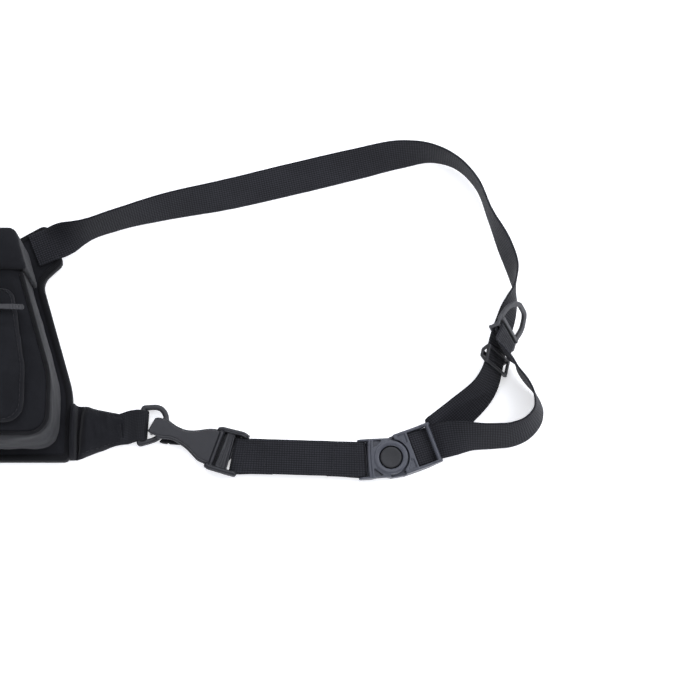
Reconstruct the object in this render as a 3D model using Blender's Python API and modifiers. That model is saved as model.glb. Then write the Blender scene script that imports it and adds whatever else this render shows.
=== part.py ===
# Binocular harness pack lying on its back panel, with a shoulder strap laid
# out in a loop on each side: pack corner -> adjuster -> round buckle -> snap
# hook -> D-ring on the side wing.  The right side is modelled and the left is
# its mirror image.  Metres, +Z up, origin at the centre of the back panel's
# flat face, +Y towards the lid end of the pouch.
import math

import bmesh
import bpy
import numpy as np
from mathutils import Matrix, Vector

MM = 0.001
GAP = 0.3                      # clearance between neighbouring pieces, mm

# ---- webbing ------------------------------------------------------------
WEB_W = 25.0                   # webbing width
WEB_T = 1.4                    # webbing thickness

# ---- pack ---------------------------------------------------------------
PACK_HALF_BOTTOM = 93.0        # half width at the bottom edge
PACK_HALF_TOP = 60.0           # half width at the lid end
PACK_Y0, PACK_YM, PACK_Y1 = -76.0, -28.0, 80.0
BACK_T = 8.0                   # padded back panel
POUCH_Z0, POUCH_Z1 = 8.4, 64.0
POUCH_WALL = 4.0
LID_Y0, LID_Z1 = 46.0, 68.0
LID_WALL = 3.0
POCKET_Z1 = 72.0

# ---- strap hardware -------------------------------------------------------
RING_ROD = 3.4                 # D-ring rod diameter
RING_W, RING_D = 28.0, 18.8    # D-ring, rod centre to rod centre
RING_POS = (143.0, -51.2, 4.4)
TAB_W = 24.0                   # ring tab webbing width
RING_ANGLE = -6.0

HOOK_POS = (214.3, -74.6, 5.0)     # centre of the hook's webbing bar
HOOK_ANGLE = 160.5                 # plan direction from the bar to the nose
HOOK_L = 68.0                      # nose face to webbing bar
HOOK_BAR_R = 1.5
GATE_PIN = (38.0, 0.0, -0.6)       # gate pivot in the hook's frame
NOSE_L = 14.6                      # nose face to the tip of the nose's lip

DISC_POS = (318.7, -74.8, 0.0)     # buckle swivel axis
MALE_ANGLE = 183.0
FEMALE_ANGLE = 20.0
DISC_R = 13.3
BUTTON_R = 7.6
BAR_R = 1.5
MALE_BAR = (20.9, 5.0)             # bar of the male half: along, height
FEM_BAR = (17.5, 4.6)              # bar of the female half
BUCKLE_HALF_W = 14.8

# shoulder strap: X, Y, Z of the centre line and lean of the width, degrees
STRAP_ROUTE = [
    (63.0, 76.0, 9.4, 0), (77.5, 81.9, 9.8, 3), (94.0, 88.2, 12.0, 54),
    (122.0, 98.4, 12.3, 66), (155.0, 108.2, 11.3, 57), (200.0, 118.3, 9.9, 47),
    (245.0, 129.6, 9.2, 42), (295.0, 142.0, 9.5, 45), (327.0, 148.9, 11.0, 55),
    (347.0, 149.4, 12.7, 75), (366.5, 142.2, 13.3, 88), (381.0, 127.0, 13.4, 91),
    (391.0, 102.0, 13.4, 88), (401.0, 78.5, 13.2, 74), (407.0, 59.0, 13.6, 79),
    (407.4, 44.0, 15.6, 99), (402.8, 30.0, 16.6, 118), (398.3, 17.0, 16.6, 122),
    (395.2, 8.0, 16.6, 122.5), (393.6, 1.2, 16.4, 123), (392.2, -5.0, 16.2, 123),
    (390.6, -12.2, 15.7, 123), (384.6, -25.5, 12.2, 132), (368.2, -41.8, 8.0, 148),
    (353.5, -54.4, 3.8, 169),
]
SLIDER_AT, GLIDE_AT = 17, 20       # stations that carry the two sliders
# front leg: from the buckle round the loop up to the adjuster
LEG_ROUTE = [
    (358.5, -61.6, 8.2, 14), (372.0, -60.2, 10.6, 45), (390.0, -60.0, 11.3, 56),
    (405.0, -58.4, 11.5, 58), (416.5, -52.2, 11.9, 64), (422.4, -42.5, 12.5, 70),
    (420.6, -31.3, 13.3, 78), (413.9, -20.5, 14.6, 86), (408.6, -13.2, 15.8, 84),
    (405.6, -7.2, 17.0, 80),
]


# ---- helpers --------------------------------------------------------------
for old in list(bpy.data.objects):
    bpy.data.objects.remove(old, do_unlink=True)

PARTS = bpy.data.collections.new("binocular_harness_pack")
bpy.context.scene.collection.children.link(PARTS)


def material(name, rgb, rough, metal=0.0):
    m = bpy.data.materials.new(name)
    m.use_nodes = True
    b = m.node_tree.nodes["Principled BSDF"]
    b.inputs["Base Color"].default_value = (*rgb, 1)
    b.inputs["Roughness"].default_value = rough
    b.inputs["Metallic"].default_value = metal
    return m


FABRIC = (0.010, 0.010, 0.011)
WEBBING = (0.018, 0.018, 0.021)
PLASTIC = (0.045, 0.046, 0.052)
SLATE = (0.085, 0.090, 0.105)
GREY = (0.17, 0.17, 0.175)
STEEL = (0.55, 0.55, 0.56)


def add(name, mesh, rgb, rough, metal=0.0, matrix=None, smooth=40):
    ob = bpy.data.objects.new(name, mesh)
    PARTS.objects.link(ob)
    mesh.materials.clear()
    mesh.materials.append(material(name, rgb, rough, metal))
    if smooth:
        mesh.shade_smooth()
        mesh.set_sharp_from_angle(angle=math.radians(smooth))
    if matrix is not None:
        ob.matrix_world = matrix
    return ob


def placed(pos, angle=0.0, tilt=0.0):
    """Frame at pos (mm), turned in plan, then pitched about its own Y."""
    return (Matrix.Translation(Vector(pos) * MM)
            @ Matrix.Rotation(math.radians(angle), 4, "Z")
            @ Matrix.Rotation(math.radians(tilt), 4, "Y"))


def mesh_of(bm):
    me = bpy.data.meshes.new("m")
    bmesh.ops.recalc_face_normals(bm, faces=bm.faces)
    if bm.calc_volume(signed=True) < 0:
        bmesh.ops.reverse_faces(bm, faces=bm.faces)
    bm.to_mesh(me)
    bm.free()
    return me


def box(lo, hi):
    bm = bmesh.new()
    bmesh.ops.create_cube(bm, size=1.0)
    lo, hi = Vector(lo) * MM, Vector(hi) * MM
    for v in bm.verts:
        v.co = Vector([lo[i] + (v.co[i] + 0.5) * (hi[i] - lo[i]) for i in range(3)])
    return mesh_of(bm)


def rod(p0, p1, r, seg=16, r2=None):
    p0, p1 = Vector(p0) * MM, Vector(p1) * MM
    bm = bmesh.new()
    bmesh.ops.create_cone(bm, cap_ends=True, segments=seg, radius1=r * MM,
                          radius2=(r if r2 is None else r2) * MM, depth=(p1 - p0).length)
    rot = Vector((0, 0, 1)).rotation_difference((p1 - p0).normalized()).to_matrix().to_4x4()
    bm.transform(Matrix.Translation((p0 + p1) / 2) @ rot)
    return mesh_of(bm)


def rounded(points, radii, n=4):
    """Closed outline with each corner replaced by an arc."""
    out = []
    k = len(points)
    if not hasattr(radii, "__len__"):
        radii = [radii] * k
    for i in range(k):
        p, a, b = (Vector(points[j % k]) for j in (i, i - 1, i + 1))
        da, db = (a - p).normalized(), (b - p).normalized()
        half = da.angle(db) / 2
        cut = min(radii[i] / math.tan(half), 0.49 * min((a - p).length, (b - p).length))
        r = cut * math.tan(half)
        if r < 0.05:
            out.append(p)
            continue
        c = p + (da + db).normalized() * (r / math.sin(half))
        u = (p + da * cut) - c
        turn = (p + db * cut - c)
        ang = u.angle_signed(turn)
        for j in range(n + 1):
            t = -ang * j / n
            out.append(c + Vector((u.x * math.cos(t) - u.y * math.sin(t),
                                   u.x * math.sin(t) + u.y * math.cos(t))))
    return [(p.x, p.y) for p in out]


def plate(loops, z0, z1, bevel=0.0):
    """Extruded flat outline; the first loop is the outside, the rest holes."""
    cu = bpy.data.curves.new("outline", "CURVE")
    cu.dimensions = "2D"
    cu.fill_mode = "BOTH"
    cu.extrude = (z1 - z0) / 2 * MM - bevel * MM
    cu.bevel_depth = bevel * MM
    cu.bevel_resolution = 2
    cu.offset = -bevel * MM
    for loop in loops:
        sp = cu.splines.new("POLY")
        sp.points.add(len(loop) - 1)
        for q, (x, y) in zip(sp.points, loop):
            q.co = (x * MM, y * MM, 0, 1)
        sp.use_cyclic_u = True
    ob = bpy.data.objects.new("outline", cu)
    bpy.context.scene.collection.objects.link(ob)
    dg = bpy.context.evaluated_depsgraph_get()
    me = bpy.data.meshes.new_from_object(ob.evaluated_get(dg))
    bpy.data.objects.remove(ob)
    bm = bmesh.new()
    bm.from_mesh(me)
    bmesh.ops.remove_doubles(bm, verts=bm.verts, dist=0.000002)
    bm.transform(Matrix.Translation((0, 0, (z0 + z1) / 2 * MM)))
    return mesh_of(bm)


def turned(mesh, matrix):
    mesh.transform(matrix)
    return mesh


def combine(base, *steps):
    """Union, difference or intersection of closed solids, in order."""
    ob = bpy.data.objects.new("base", base)
    bpy.context.scene.collection.objects.link(ob)
    for op, other in steps:
        tool = bpy.data.objects.new("tool", other)
        bpy.context.scene.collection.objects.link(tool)
        mod = ob.modifiers.new("b", "BOOLEAN")
        mod.operation = op
        mod.solver = "EXACT"
        mod.object = tool
        dg = bpy.context.evaluated_depsgraph_get()
        me = bpy.data.meshes.new_from_object(ob.evaluated_get(dg))
        ob.modifiers.clear()
        ob.data = me
        bpy.data.objects.remove(tool)
    me = ob.data
    bpy.data.objects.remove(ob)
    bm = bmesh.new()
    bm.from_mesh(me)
    bmesh.ops.remove_doubles(bm, verts=bm.verts, dist=0.000001)
    bmesh.ops.dissolve_degenerate(bm, edges=bm.edges, dist=0.000001)
    return mesh_of(bm)


CUT, JOIN, MEET = "DIFFERENCE", "UNION", "INTERSECT"


class Route:
    """Smooth curve through stations of X, Y, Z and lean."""

    def __init__(self, stations):
        self.p = np.array(stations, float)
        d = np.linalg.norm(np.diff(self.p[:, :3], axis=0), axis=1)
        self.s = np.concatenate([[0], np.cumsum(d)])
        m = np.zeros_like(self.p)
        slope = np.diff(self.p, axis=0) / d[:, None]
        m[0], m[-1] = slope[0], slope[-1]
        for i in range(1, len(self.p) - 1):
            w = d[i - 1] / (d[i - 1] + d[i])
            m[i] = slope[i - 1] * (1 - w) + slope[i] * w
        self.m = m
        self.length = self.s[-1]

    def at(self, s):
        i = int(np.clip(np.searchsorted(self.s, s) - 1, 0, len(self.s) - 2))
        h = self.s[i + 1] - self.s[i]
        t = (s - self.s[i]) / h
        a, b, ma, mb = self.p[i], self.p[i + 1], self.m[i] * h, self.m[i + 1] * h
        q = (2*t**3 - 3*t*t + 1)*a + (t**3 - 2*t*t + t)*ma + (3*t*t - 2*t**3)*b + (t**3 - t*t)*mb
        v = (6*t*t - 6*t)*a + (3*t*t - 4*t + 1)*ma + (6*t - 6*t*t)*b + (3*t*t - 2*t)*mb
        tan = Vector(v[:3]).normalized()
        left = Vector((-tan.y, tan.x, 0)).normalized()
        lean = math.radians(q[3])
        side = left * math.cos(lean) + Vector((0, 0, 1)) * math.sin(lean)
        side = (side - tan * side.dot(tan)).normalized()
        return Vector(q[:3]), tan, side

    def rows(self, step):
        n = max(2, int(self.length / step))
        return [(p, s) for p, _, s in (self.at(self.length * i / n) for i in range(n + 1))]


def ribbon(name, rows, rgb=WEBBING, width=WEB_W):
    """Webbing: a grid laid along rows of centre and side direction, thickened."""
    bm = bmesh.new()
    bmesh.ops.create_grid(bm, x_segments=len(rows) - 1, y_segments=1, size=1.0)
    cols = sorted({round(v.co.x, 5) for v in bm.verts})
    index = {c: i for i, c in enumerate(cols)}
    for v in bm.verts:
        i = index[round(v.co.x, 5)]
        p, s = rows[i]
        v.co = (p + s * (width / 2 if v.co.y > 0 else -width / 2)) * MM
    me = bpy.data.meshes.new(name)
    bm.to_mesh(me)
    bm.free()
    ob = add(name, me, rgb, 0.85, smooth=50)
    mod = ob.modifiers.new("thickness", "SOLIDIFY")
    mod.thickness = WEB_T * MM
    mod.offset = 0
    return ob


def arc(cx, cz, r, a0, a1, n=8):
    return [(cx + r * math.cos(math.radians(a0 + (a1 - a0) * i / n)),
             cz + r * math.sin(math.radians(a0 + (a1 - a0) * i / n))) for i in range(n + 1)]


def profile_rows(pts, frame, side=None):
    """Rows for webbing that runs in a local X-Z plane of a frame (mm)."""
    y = (frame.to_3x3() @ Vector((0, 1, 0))).normalized() if side is None else side
    out = []
    for x, z in pts:
        out.append((frame @ (Vector((x, 0, z)) * MM) / MM, y))
    return out


# ---- pack body --------------------------------------------------------------
def half_at(y, inset=0.0):
    """Half width of the pack outline at y."""
    if y <= PACK_YM:
        return PACK_HALF_BOTTOM - inset
    k = (y - PACK_YM) / (PACK_Y1 - PACK_YM)
    return PACK_HALF_BOTTOM + (PACK_HALF_TOP - PACK_HALF_BOTTOM) * k - inset


strap_dir = Vector((0.92, 0.39)).normalized()
across = Vector((-strap_dir.y, strap_dir.x))
ear_end = Vector(STRAP_ROUTE[0][:2]) + strap_dir * 15
ear_a, ear_b = ear_end - across * 15, ear_end + across * 15
back_half = [(PACK_HALF_BOTTOM, PACK_Y0), (PACK_HALF_BOTTOM, PACK_YM), (half_at(54), 54),
             (ear_a.x, ear_a.y), (ear_b.x, ear_b.y), (44, PACK_Y1)]
back_radii = [4, 60, 12, 4, 4, 12]
back_outline = rounded(back_half + [(-x, y) for x, y in reversed(back_half)],
                       back_radii + back_radii[::-1])
add("back_panel", plate([back_outline], 0, BACK_T, bevel=1.5), FABRIC, 0.9)

INSET = 6.0


def pouch_outline(off, y0, y1, r):
    """Pouch outline moved in by off (mm), between y0 and y1."""
    ym = PACK_YM
    return rounded([(half_at(y0, off), y0), (half_at(ym, off), ym), (half_at(y1, off), y1),
                    (-half_at(y1, off), y1), (-half_at(ym, off), ym), (-half_at(y0, off), y0)], r)


P_Y0, P_Y1 = PACK_Y0 + INSET, PACK_Y1 - 8
pouch = combine(
    plate([pouch_outline(INSET, P_Y0, P_Y1, [14, 60, 3, 3, 60, 14])], POUCH_Z0, POUCH_Z1, bevel=5),
    (CUT, plate([pouch_outline(INSET + POUCH_WALL, P_Y0 + POUCH_WALL, P_Y1 + 20, [11, 56, 3, 3, 56, 11])],
                POUCH_Z0 + POUCH_WALL, POUCH_Z1 - POUCH_WALL)))

# magnets sit in the slanted side walls of the mouth and in the lid's skirts
slant = math.atan2(PACK_HALF_BOTTOM - PACK_HALF_TOP, PACK_Y1 - PACK_YM)
MAG_Y, MAG_Z, MAG_R = 60.0, 36.0, 6.0


def magnet_at(side, depth0, depth1, r):
    """Disc on the pouch side wall, measured outward from the wall's outer face."""
    base = Vector((side * half_at(MAG_Y, INSET), MAG_Y, MAG_Z))
    n = Vector((side * math.cos(slant), math.sin(slant), 0))
    return rod(base + n * depth0, base + n * depth1, r, 20)


pouch = combine(pouch, *[(CUT, magnet_at(s, -2.4, 0.8, MAG_R + GAP)) for s in (1, -1)])
add("pouch_shell", pouch, FABRIC, 0.9)
for s, nm in ((1, "right"), (-1, "left")):
    add(f"pouch_magnet_{nm}", magnet_at(s, -2.1, -0.3, MAG_R), STEEL, 0.35, 1.0)

lid_out = rounded([(half_at(LID_Y0, INSET - 0.7 - LID_WALL), LID_Y0),
                   (half_at(P_Y1 + 4, INSET - 0.7 - LID_WALL), P_Y1 + 4),
                   (-half_at(P_Y1 + 4, INSET - 0.7 - LID_WALL), P_Y1 + 4),
                   (-half_at(LID_Y0, INSET - 0.7 - LID_WALL), LID_Y0)], [1, 6, 6, 1])
lid_in = [(half_at(LID_Y0 - 6, INSET - 0.7), LID_Y0 - 6), (half_at(P_Y1 + 0.7, INSET - 0.7), P_Y1 + 0.7),
          (-half_at(P_Y1 + 0.7, INSET - 0.7), P_Y1 + 0.7), (-half_at(LID_Y0 - 6, INSET - 0.7), LID_Y0 - 6)]
lid = combine(plate([lid_out], 13.0, LID_Z1),
              (CUT, plate([lid_in], 8.0, LID_Z1 - LID_WALL - 0.4)),
              *[(CUT, magnet_at(s, 0.0, 2.6, MAG_R + GAP)) for s in (1, -1)])
hinge = Vector((0, LID_Y0, LID_Z1 + 0.2))
add("lid", turned(lid, Matrix.Translation(-hinge * MM)), FABRIC, 0.9, matrix=placed(hinge))
for s, nm in ((1, "right"), (-1, "left")):
    add(f"lid_magnet_{nm}", turned(magnet_at(s, 0.9, 2.3, MAG_R), Matrix.Translation(-hinge * MM)),
        STEEL, 0.35, 1.0, matrix=placed(hinge))
# webbing grab tab sewn on the lid's end face
tab = rounded([(-11, 0), (11, 0), (11, 26), (-11, 26)], [1, 1, 5, 5])
tab_frame = Matrix.Translation(Vector((0, P_Y1 + 4 + GAP, 44)) * MM) @ Matrix.Rotation(math.radians(-90), 4, "X")
add("lid_tab", turned(plate([tab], 0, 2.4), Matrix.Translation(-hinge * MM) @ tab_frame), WEBBING, 0.85,
    matrix=placed(hinge))

pocket = rounded([(70, -62), (70, -24), (60, 32), (-60, 32), (-70, -24), (-70, -62)], [12, 40, 10, 10, 40, 12])
add("front_pocket", plate([pocket], POUCH_Z1 + GAP, POCKET_Z1, bevel=2.5), FABRIC, 0.9)
ZIP_Y, ZIP_HALF = 16.0, 52.0
add("zip_tape", plate([rounded([(ZIP_HALF, ZIP_Y - 6), (ZIP_HALF, ZIP_Y + 6), (-ZIP_HALF, ZIP_Y + 6),
                                (-ZIP_HALF, ZIP_Y - 6)], 2)], POCKET_Z1 + GAP, POCKET_Z1 + 1.3), FABRIC, 0.8)
coil_z = POCKET_Z1 + 1.3 + GAP
add("zip_coil", box((-ZIP_HALF + 3, ZIP_Y - 2.0, coil_z), (ZIP_HALF - 3, ZIP_Y + 2.0, coil_z + 1.2)), FABRIC, 0.6)
ZIP_X = 42.0
PULL_DROOP = 6.5               # the pull rests on the zip, degrees
zip_pos = Vector((ZIP_X, ZIP_Y, coil_z))
body = combine(box((-5, -4.2, 1.5), (5, 4.2, 3.1)),
               (JOIN, box((-5, -4.2, 0.0), (5, -2.4, 1.6))), (JOIN, box((-5, 2.4, 0.0), (5, 4.2, 1.6))),
               (JOIN, box((2.2, -3.4, 3.0), (4.2, -2.2, 6.2))), (JOIN, box((2.2, 2.2, 3.0), (4.2, 3.4, 6.2))),
               (JOIN, rod((3.2, -2.5, 5.2), (3.2, 2.5, 5.2), 0.7, 10)))
add("zip_slider", body, PLASTIC, 0.4, matrix=placed(zip_pos))
pull = combine(rod((0, -1.9, 0), (0, 1.9, 0), 1.75, 14),
               (JOIN, box((0.8, -1.9, -0.8), (24, 1.9, 0.8))),
               (CUT, rod((0, -4, 0), (0, 4, 0), 1.0, 12)))
add("zip_pull", pull, PLASTIC, 0.5, matrix=placed(zip_pos + Vector((3.2, 0, 5.2)), 0.0, PULL_DROOP))

# ---- side wing and D-ring ---------------------------------------------------
ring_frame = placed(RING_POS, RING_ANGLE, -3.8)
flat_ring = placed(RING_POS, RING_ANGLE)


def wing_mesh():
    """Soft tapering wing: rounded sections lofted from the pack to the tab."""
    x0, x1 = PACK_HALF_BOTTOM + 0.4, 131.0
    bm = bmesh.new()
    rings = []
    for k in range(9):
        t = k / 8
        x = x0 + (x1 - x0) * t
        ease = 1 - (1 - t) ** 1.6
        top = -35.0 + (-41.6 + 35.0) * ease
        low = -77.5 + (-67.2 + 77.5) * ease
        thick = 13.0 + (7.4 - 13.0) * min(1.0, t * 1.25)
        cy, hy, cz, hz = (top + low) / 2, (top - low) / 2, 0.7 + thick / 2, thick / 2
        ring = []
        for j in range(20):
            a = 2 * math.pi * j / 20
            c, s = math.cos(a), math.sin(a)
            ring.append(bm.verts.new(Vector((
                x, cy + hy * math.copysign(abs(c) ** 0.45, c), cz + hz * math.copysign(abs(s) ** 0.55, s))) * MM))
        rings.append(ring)
    for a, b in zip(rings, rings[1:]):
        for j in range(20):
            bm.faces.new((a[j], a[(j + 1) % 20], b[(j + 1) % 20], b[j]))
    bm.faces.new(rings[0])
    bm.faces.new(rings[-1])
    return mesh_of(bm)


TAB_IN = -23.0                     # the tab reaches this far into the wing
TAB_DROP = 0.28                    # the tab slants down towards the wing
wing_tip = placed((131.0, -53.2, RING_POS[2]), 6.0)
slot = turned(box((TAB_IN + 9, -20, -2.05), (4, 20, 2.05)), wing_tip)
add("side_wing_right", combine(wing_mesh(), (CUT, slot)), FABRIC, 0.9)

fold = RING_ROD / 2 + GAP + WEB_T / 2
half_gap = WEB_T / 2 + GAP / 2
tab_path = ([(TAB_IN, -half_gap), (-16, -half_gap), (-9, -half_gap), (-5.2, -1.6), (-2.5, -fold + 0.25)]
            + arc(0, 0, fold, -90, 90, 10)
            + [(-2.5, fold - 0.25), (-5.2, 1.6), (-9, half_gap), (-16, half_gap), (TAB_IN, half_gap)])
tab_rows = []
for x, z in tab_path:
    k = min(1.0, max(0.0, (-x - 4) / 10))
    turn = math.radians(13.0 * k)
    p = flat_ring @ (Vector((x, -TAB_DROP * max(0.0, -x - 3), z)) * MM) / MM
    tab_rows.append((p, flat_ring.to_3x3() @ Vector((-math.sin(turn), math.cos(turn), 0))))
ribbon("ring_tab_right", tab_rows, width=TAB_W)


def ring_points():
    """Rod centre line of the D: straight bar at X = 0, rounded far side."""
    w = RING_W / 2
    return rounded([(0, -w), (RING_D, -w), (RING_D, w), (0, w)], [1.75, 9.5, 9.5, 1.75], 5)


def tube(points, r, cyclic, res=2):
    cu = bpy.data.curves.new("rod", "CURVE")
    cu.dimensions = "3D"
    cu.bevel_depth = r * MM
    cu.bevel_resolution = res
    cu.use_fill_caps = not cyclic
    sp = cu.splines.new("POLY")
    sp.points.add(len(points) - 1)
    for q, p in zip(sp.points, points):
        q.co = (*(Vector(p) * MM), 1)
    sp.use_cyclic_u = cyclic
    ob = bpy.data.objects.new("rod", cu)
    bpy.context.scene.collection.objects.link(ob)
    dg = bpy.context.evaluated_depsgraph_get()
    me = bpy.data.meshes.new_from_object(ob.evaluated_get(dg))
    bpy.data.objects.remove(ob)
    bm = bmesh.new()
    bm.from_mesh(me)
    bmesh.ops.remove_doubles(bm, verts=bm.verts, dist=0.000001)
    return mesh_of(bm)


add("d_ring_right", tube([(x, y, 0) for x, y in ring_points()], RING_ROD / 2, True), PLASTIC, 0.45, matrix=ring_frame)

# ---- snap hook --------------------------------------------------------------
# frame: origin on the webbing bar, +X towards the nose, Z up (floor at -5)
hook_frame = placed(HOOK_POS, HOOK_ANGLE)


def hook_half(u):
    """Half width of the hook plate at distance u from the nose face."""
    us = [0, 3, 12, 24, 32, 39, 44.5, 48, 50, 55]
    ws = [5.8, 6.7, 6.3, 5.4, 6.2, 9.0, 12.8, 15.4, 16.2, 16.3]
    return float(np.interp(u, us, ws))


us = [0, 1.2, 3, 8, 14, 20, 26, 32, 36, 40, 43, 46, 48, 50, 55]
plan = [(HOOK_L - u, hook_half(u)) for u in us] + [(HOOK_L - u, -hook_half(u)) for u in reversed(us)]
side_prof = rounded([(HOOK_L, -4.5), (HOOK_L, 6.4), (13.2, 6.4), (13.2, 2.6), (20, 2.6), (24, 1.4), (30, 1.4),
                     (30, 3.6), (HOOK_L - 2.6, 3.6), (HOOK_L - 2.6, -2.0), (HOOK_L - NOSE_L, -2.0), (HOOK_L - NOSE_L, -4.5)],
                    [2.2, 2.2, .3, .3, 2, 1, 1, 1, 1.5, 1.0, .8, .8], 3)
prof = turned(plate([side_prof], -20, 20), Matrix.Rotation(math.radians(90), 4, "X"))
pin_x, pin_z = GATE_PIN[0], GATE_PIN[2]
boss = combine(box((31.0, -2.5, -3.2), (42.0, 2.5, 4.0)), (CUT, rod((pin_x, -9, pin_z), (pin_x, 9, pin_z), 1.3, 14)))
lip = box((14.4, -15.4, 5.6), (17.2, 15.4, 7.4))
rail_prof = rounded([(-2.1, -1.9), (-2.1, 3.9), (0, 5.4), (15, 5.4), (15, 2.4), (6, -1.9)], [1.5, 1.5, 2, .4, .4, 2], 3)
rails = [turned(plate([rail_prof], s * 15.2 - 1.1, s * 15.2 + 1.1), Matrix.Rotation(math.radians(90), 4, "X"))
         for s in (1, -1)]
hook = combine(plate([plan], -5.5, 8),
               (MEET, prof), (JOIN, boss), (JOIN, lip), (JOIN, rails[0]), (JOIN, rails[1]),
               (JOIN, rod((0, -15.2, 0), (0, 15.2, 0), HOOK_BAR_R, 14)),
               (JOIN, box((7.4, -15.2, 2.4), (10.6, 15.2, 5.0))))
add("hook_body_right", hook, PLASTIC, 0.45, matrix=hook_frame)
pin_at = Vector(GATE_PIN)
gate_frame = hook_frame @ Matrix.Translation(pin_at * MM)
add("gate_pin_right", rod((0, -4.9, 0), (0, 4.9, 0), 1.0, 12), STEEL, 0.35, 1.0, matrix=gate_frame)
# gate lever: bar that closes the eye, two cheeks on the pin
cheeks = [combine(box((-2.0, y0, -3.4), (6.0, y0 + 1.7, 1.9)), (CUT, rod((0, -9, 0), (0, 9, 0), 1.3, 14)))
          for y0 in (2.9, -4.6)]
gate = combine(box((4.6, -3.7, -3.4), (HOOK_L - NOSE_L - 0.5 - pin_at.x, 3.7, -1.2)),
               (JOIN, cheeks[0]), (JOIN, cheeks[1]))
add("hook_gate_right", gate, PLASTIC, 0.45, matrix=gate_frame)
# leaf spring between the plate and the gate's heel
leaf = rounded([(4.5, 3.6), (6.6, 3.6), (9.0, -0.2), (9.0, -0.8), (8.5, -0.8), (6.3, 3.1), (4.5, 3.1)], 0.1, 1)
add("gate_spring_right", turned(plate([leaf], -1.6, 1.6), Matrix.Rotation(math.radians(90), 4, "X")),
    STEEL, 0.35, 1.0, matrix=gate_frame)

# ---- round buckle -----------------------------------------------------------
disc = placed(DISC_POS)
male_frame, fem_frame = placed(DISC_POS, MALE_ANGLE), placed(DISC_POS, FEMALE_ANGLE)


def circle(r, n=36, hole=False):
    k = -1 if hole else 1
    return [(r * math.cos(2 * math.pi * i / n), k * r * math.sin(2 * math.pi * i / n)) for i in range(n)]


W = BUCKLE_HALF_W
arm = rounded([(12, 6.4), (12, 9.6), (22, 9.6), (25.0, 7.6), (25.0, 3.4), (23, 2.6), (18, 2.6)], [.3, .3, 2, 1.2, 1, 1, 1], 3)
male = combine(
    rod((0, 0, 6.2), (0, 0, 10.8), DISC_R, 36),
    (JOIN, plate([rounded([(4, -12.2), (16.0, -W), (16.0, W), (4, 12.2)], 1.5, 3)], 6.2, 9.8)),
    (JOIN, rod((0, 0, 2.9), (0, 0, 7.0), 9.8, 32)),
    (JOIN, turned(plate([arm], W - 1.6, W), Matrix.Rotation(math.radians(90), 4, "X"))),
    (JOIN, turned(plate([arm], -W, -W + 1.6), Matrix.Rotation(math.radians(90), 4, "X"))),
    (JOIN, rod((MALE_BAR[0], -W + 0.6, MALE_BAR[1]), (MALE_BAR[0], W - 0.6, MALE_BAR[1]), BAR_R, 14)),
    (CUT, rod((0, 0, 5.9), (0, 0, 14), BUTTON_R + 0.5, 32)),
    (CUT, rod((0, 0, 2), (0, 0, 4.8), 5.6, 24)))
add("buckle_male_right", male, SLATE, 0.4, matrix=male_frame)
add("male_magnet_right", rod((0, 0, 3.0), (0, 0, 4.5), 5.3, 24), STEEL, 0.35, 1.0, matrix=male_frame)
add("release_button_right", combine(rod((0, 0, 8.6), (0, 0, 11.2), BUTTON_R, 32),
                              (CUT, rod((0, 0, 8), (0, 0, 9.8), 6.3, 24))), PLASTIC, 0.5, matrix=male_frame)
# flat wave of spring wire between the button and its pocket floor
spring = [(5.2 * math.cos(2 * math.pi * i / 24 * 1.9), 5.2 * math.sin(2 * math.pi * i / 24 * 1.9),
           6.75 + 2.5 * i / 24) for i in range(25)]
add("button_spring_right", tube(spring, 0.4, False, 1), STEEL, 0.35, 1.0, matrix=male_frame)

rail = rounded([(9, 0.6), (9, 9.2), (26, 9.2), (29, 10.4), (33.4, 10.4), (33.4, 6.8), (24, 1.4), (20, 0.6)],
               [.3, .3, 3, 2, 1.4, 3, 3, 1], 3)
shoulder = rounded([(5, -W), (13.4, -W), (13.4, W), (5, W)], 1.0, 3)
fem = combine(
    rod((0, 0, 0.4), (0, 0, 5.8), 13.6, 36),
    (JOIN, plate([shoulder], 0.4, 9.2)),
    (CUT, rod((0, 0, 5.8), (0, 0, 14), 14.0, 40)),
    (CUT, rod((0, 0, 2.5), (0, 0, 8), 10.5, 32)),
    (CUT, rod((0, 0, 1.0), (0, 0, 4), 5.6, 24)),
    (JOIN, turned(plate([rail], W - 1.7, W), Matrix.Rotation(math.radians(90), 4, "X"))),
    (JOIN, turned(plate([rail], -W, -W + 1.7), Matrix.Rotation(math.radians(90), 4, "X"))),
    (CUT, rod((0, 0, 5.8), (0, 0, 14), 14.0, 40)),
    (JOIN, rod((FEM_BAR[0], -W + 0.6, FEM_BAR[1]), (FEM_BAR[0], W - 0.6, FEM_BAR[1]), BAR_R, 14)),
    (JOIN, box((29.8, -W + 0.6, 8.3), (32.8, W - 0.6, 10.2))))
add("buckle_female_right", fem, SLATE, 0.4, matrix=fem_frame)
add("female_magnet_right", rod((0, 0, 1.1), (0, 0, 2.3), 5.3, 24), STEEL, 0.35, 1.0, matrix=fem_frame)

# ---- side strap: hook bar to male buckle half -------------------------------
male_bar = male_frame @ (Vector((MALE_BAR[0], 0, MALE_BAR[1])) * MM) / MM
hook_bar = Vector(HOOK_POS)
web_fold = BAR_R + GAP + WEB_T / 2


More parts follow.
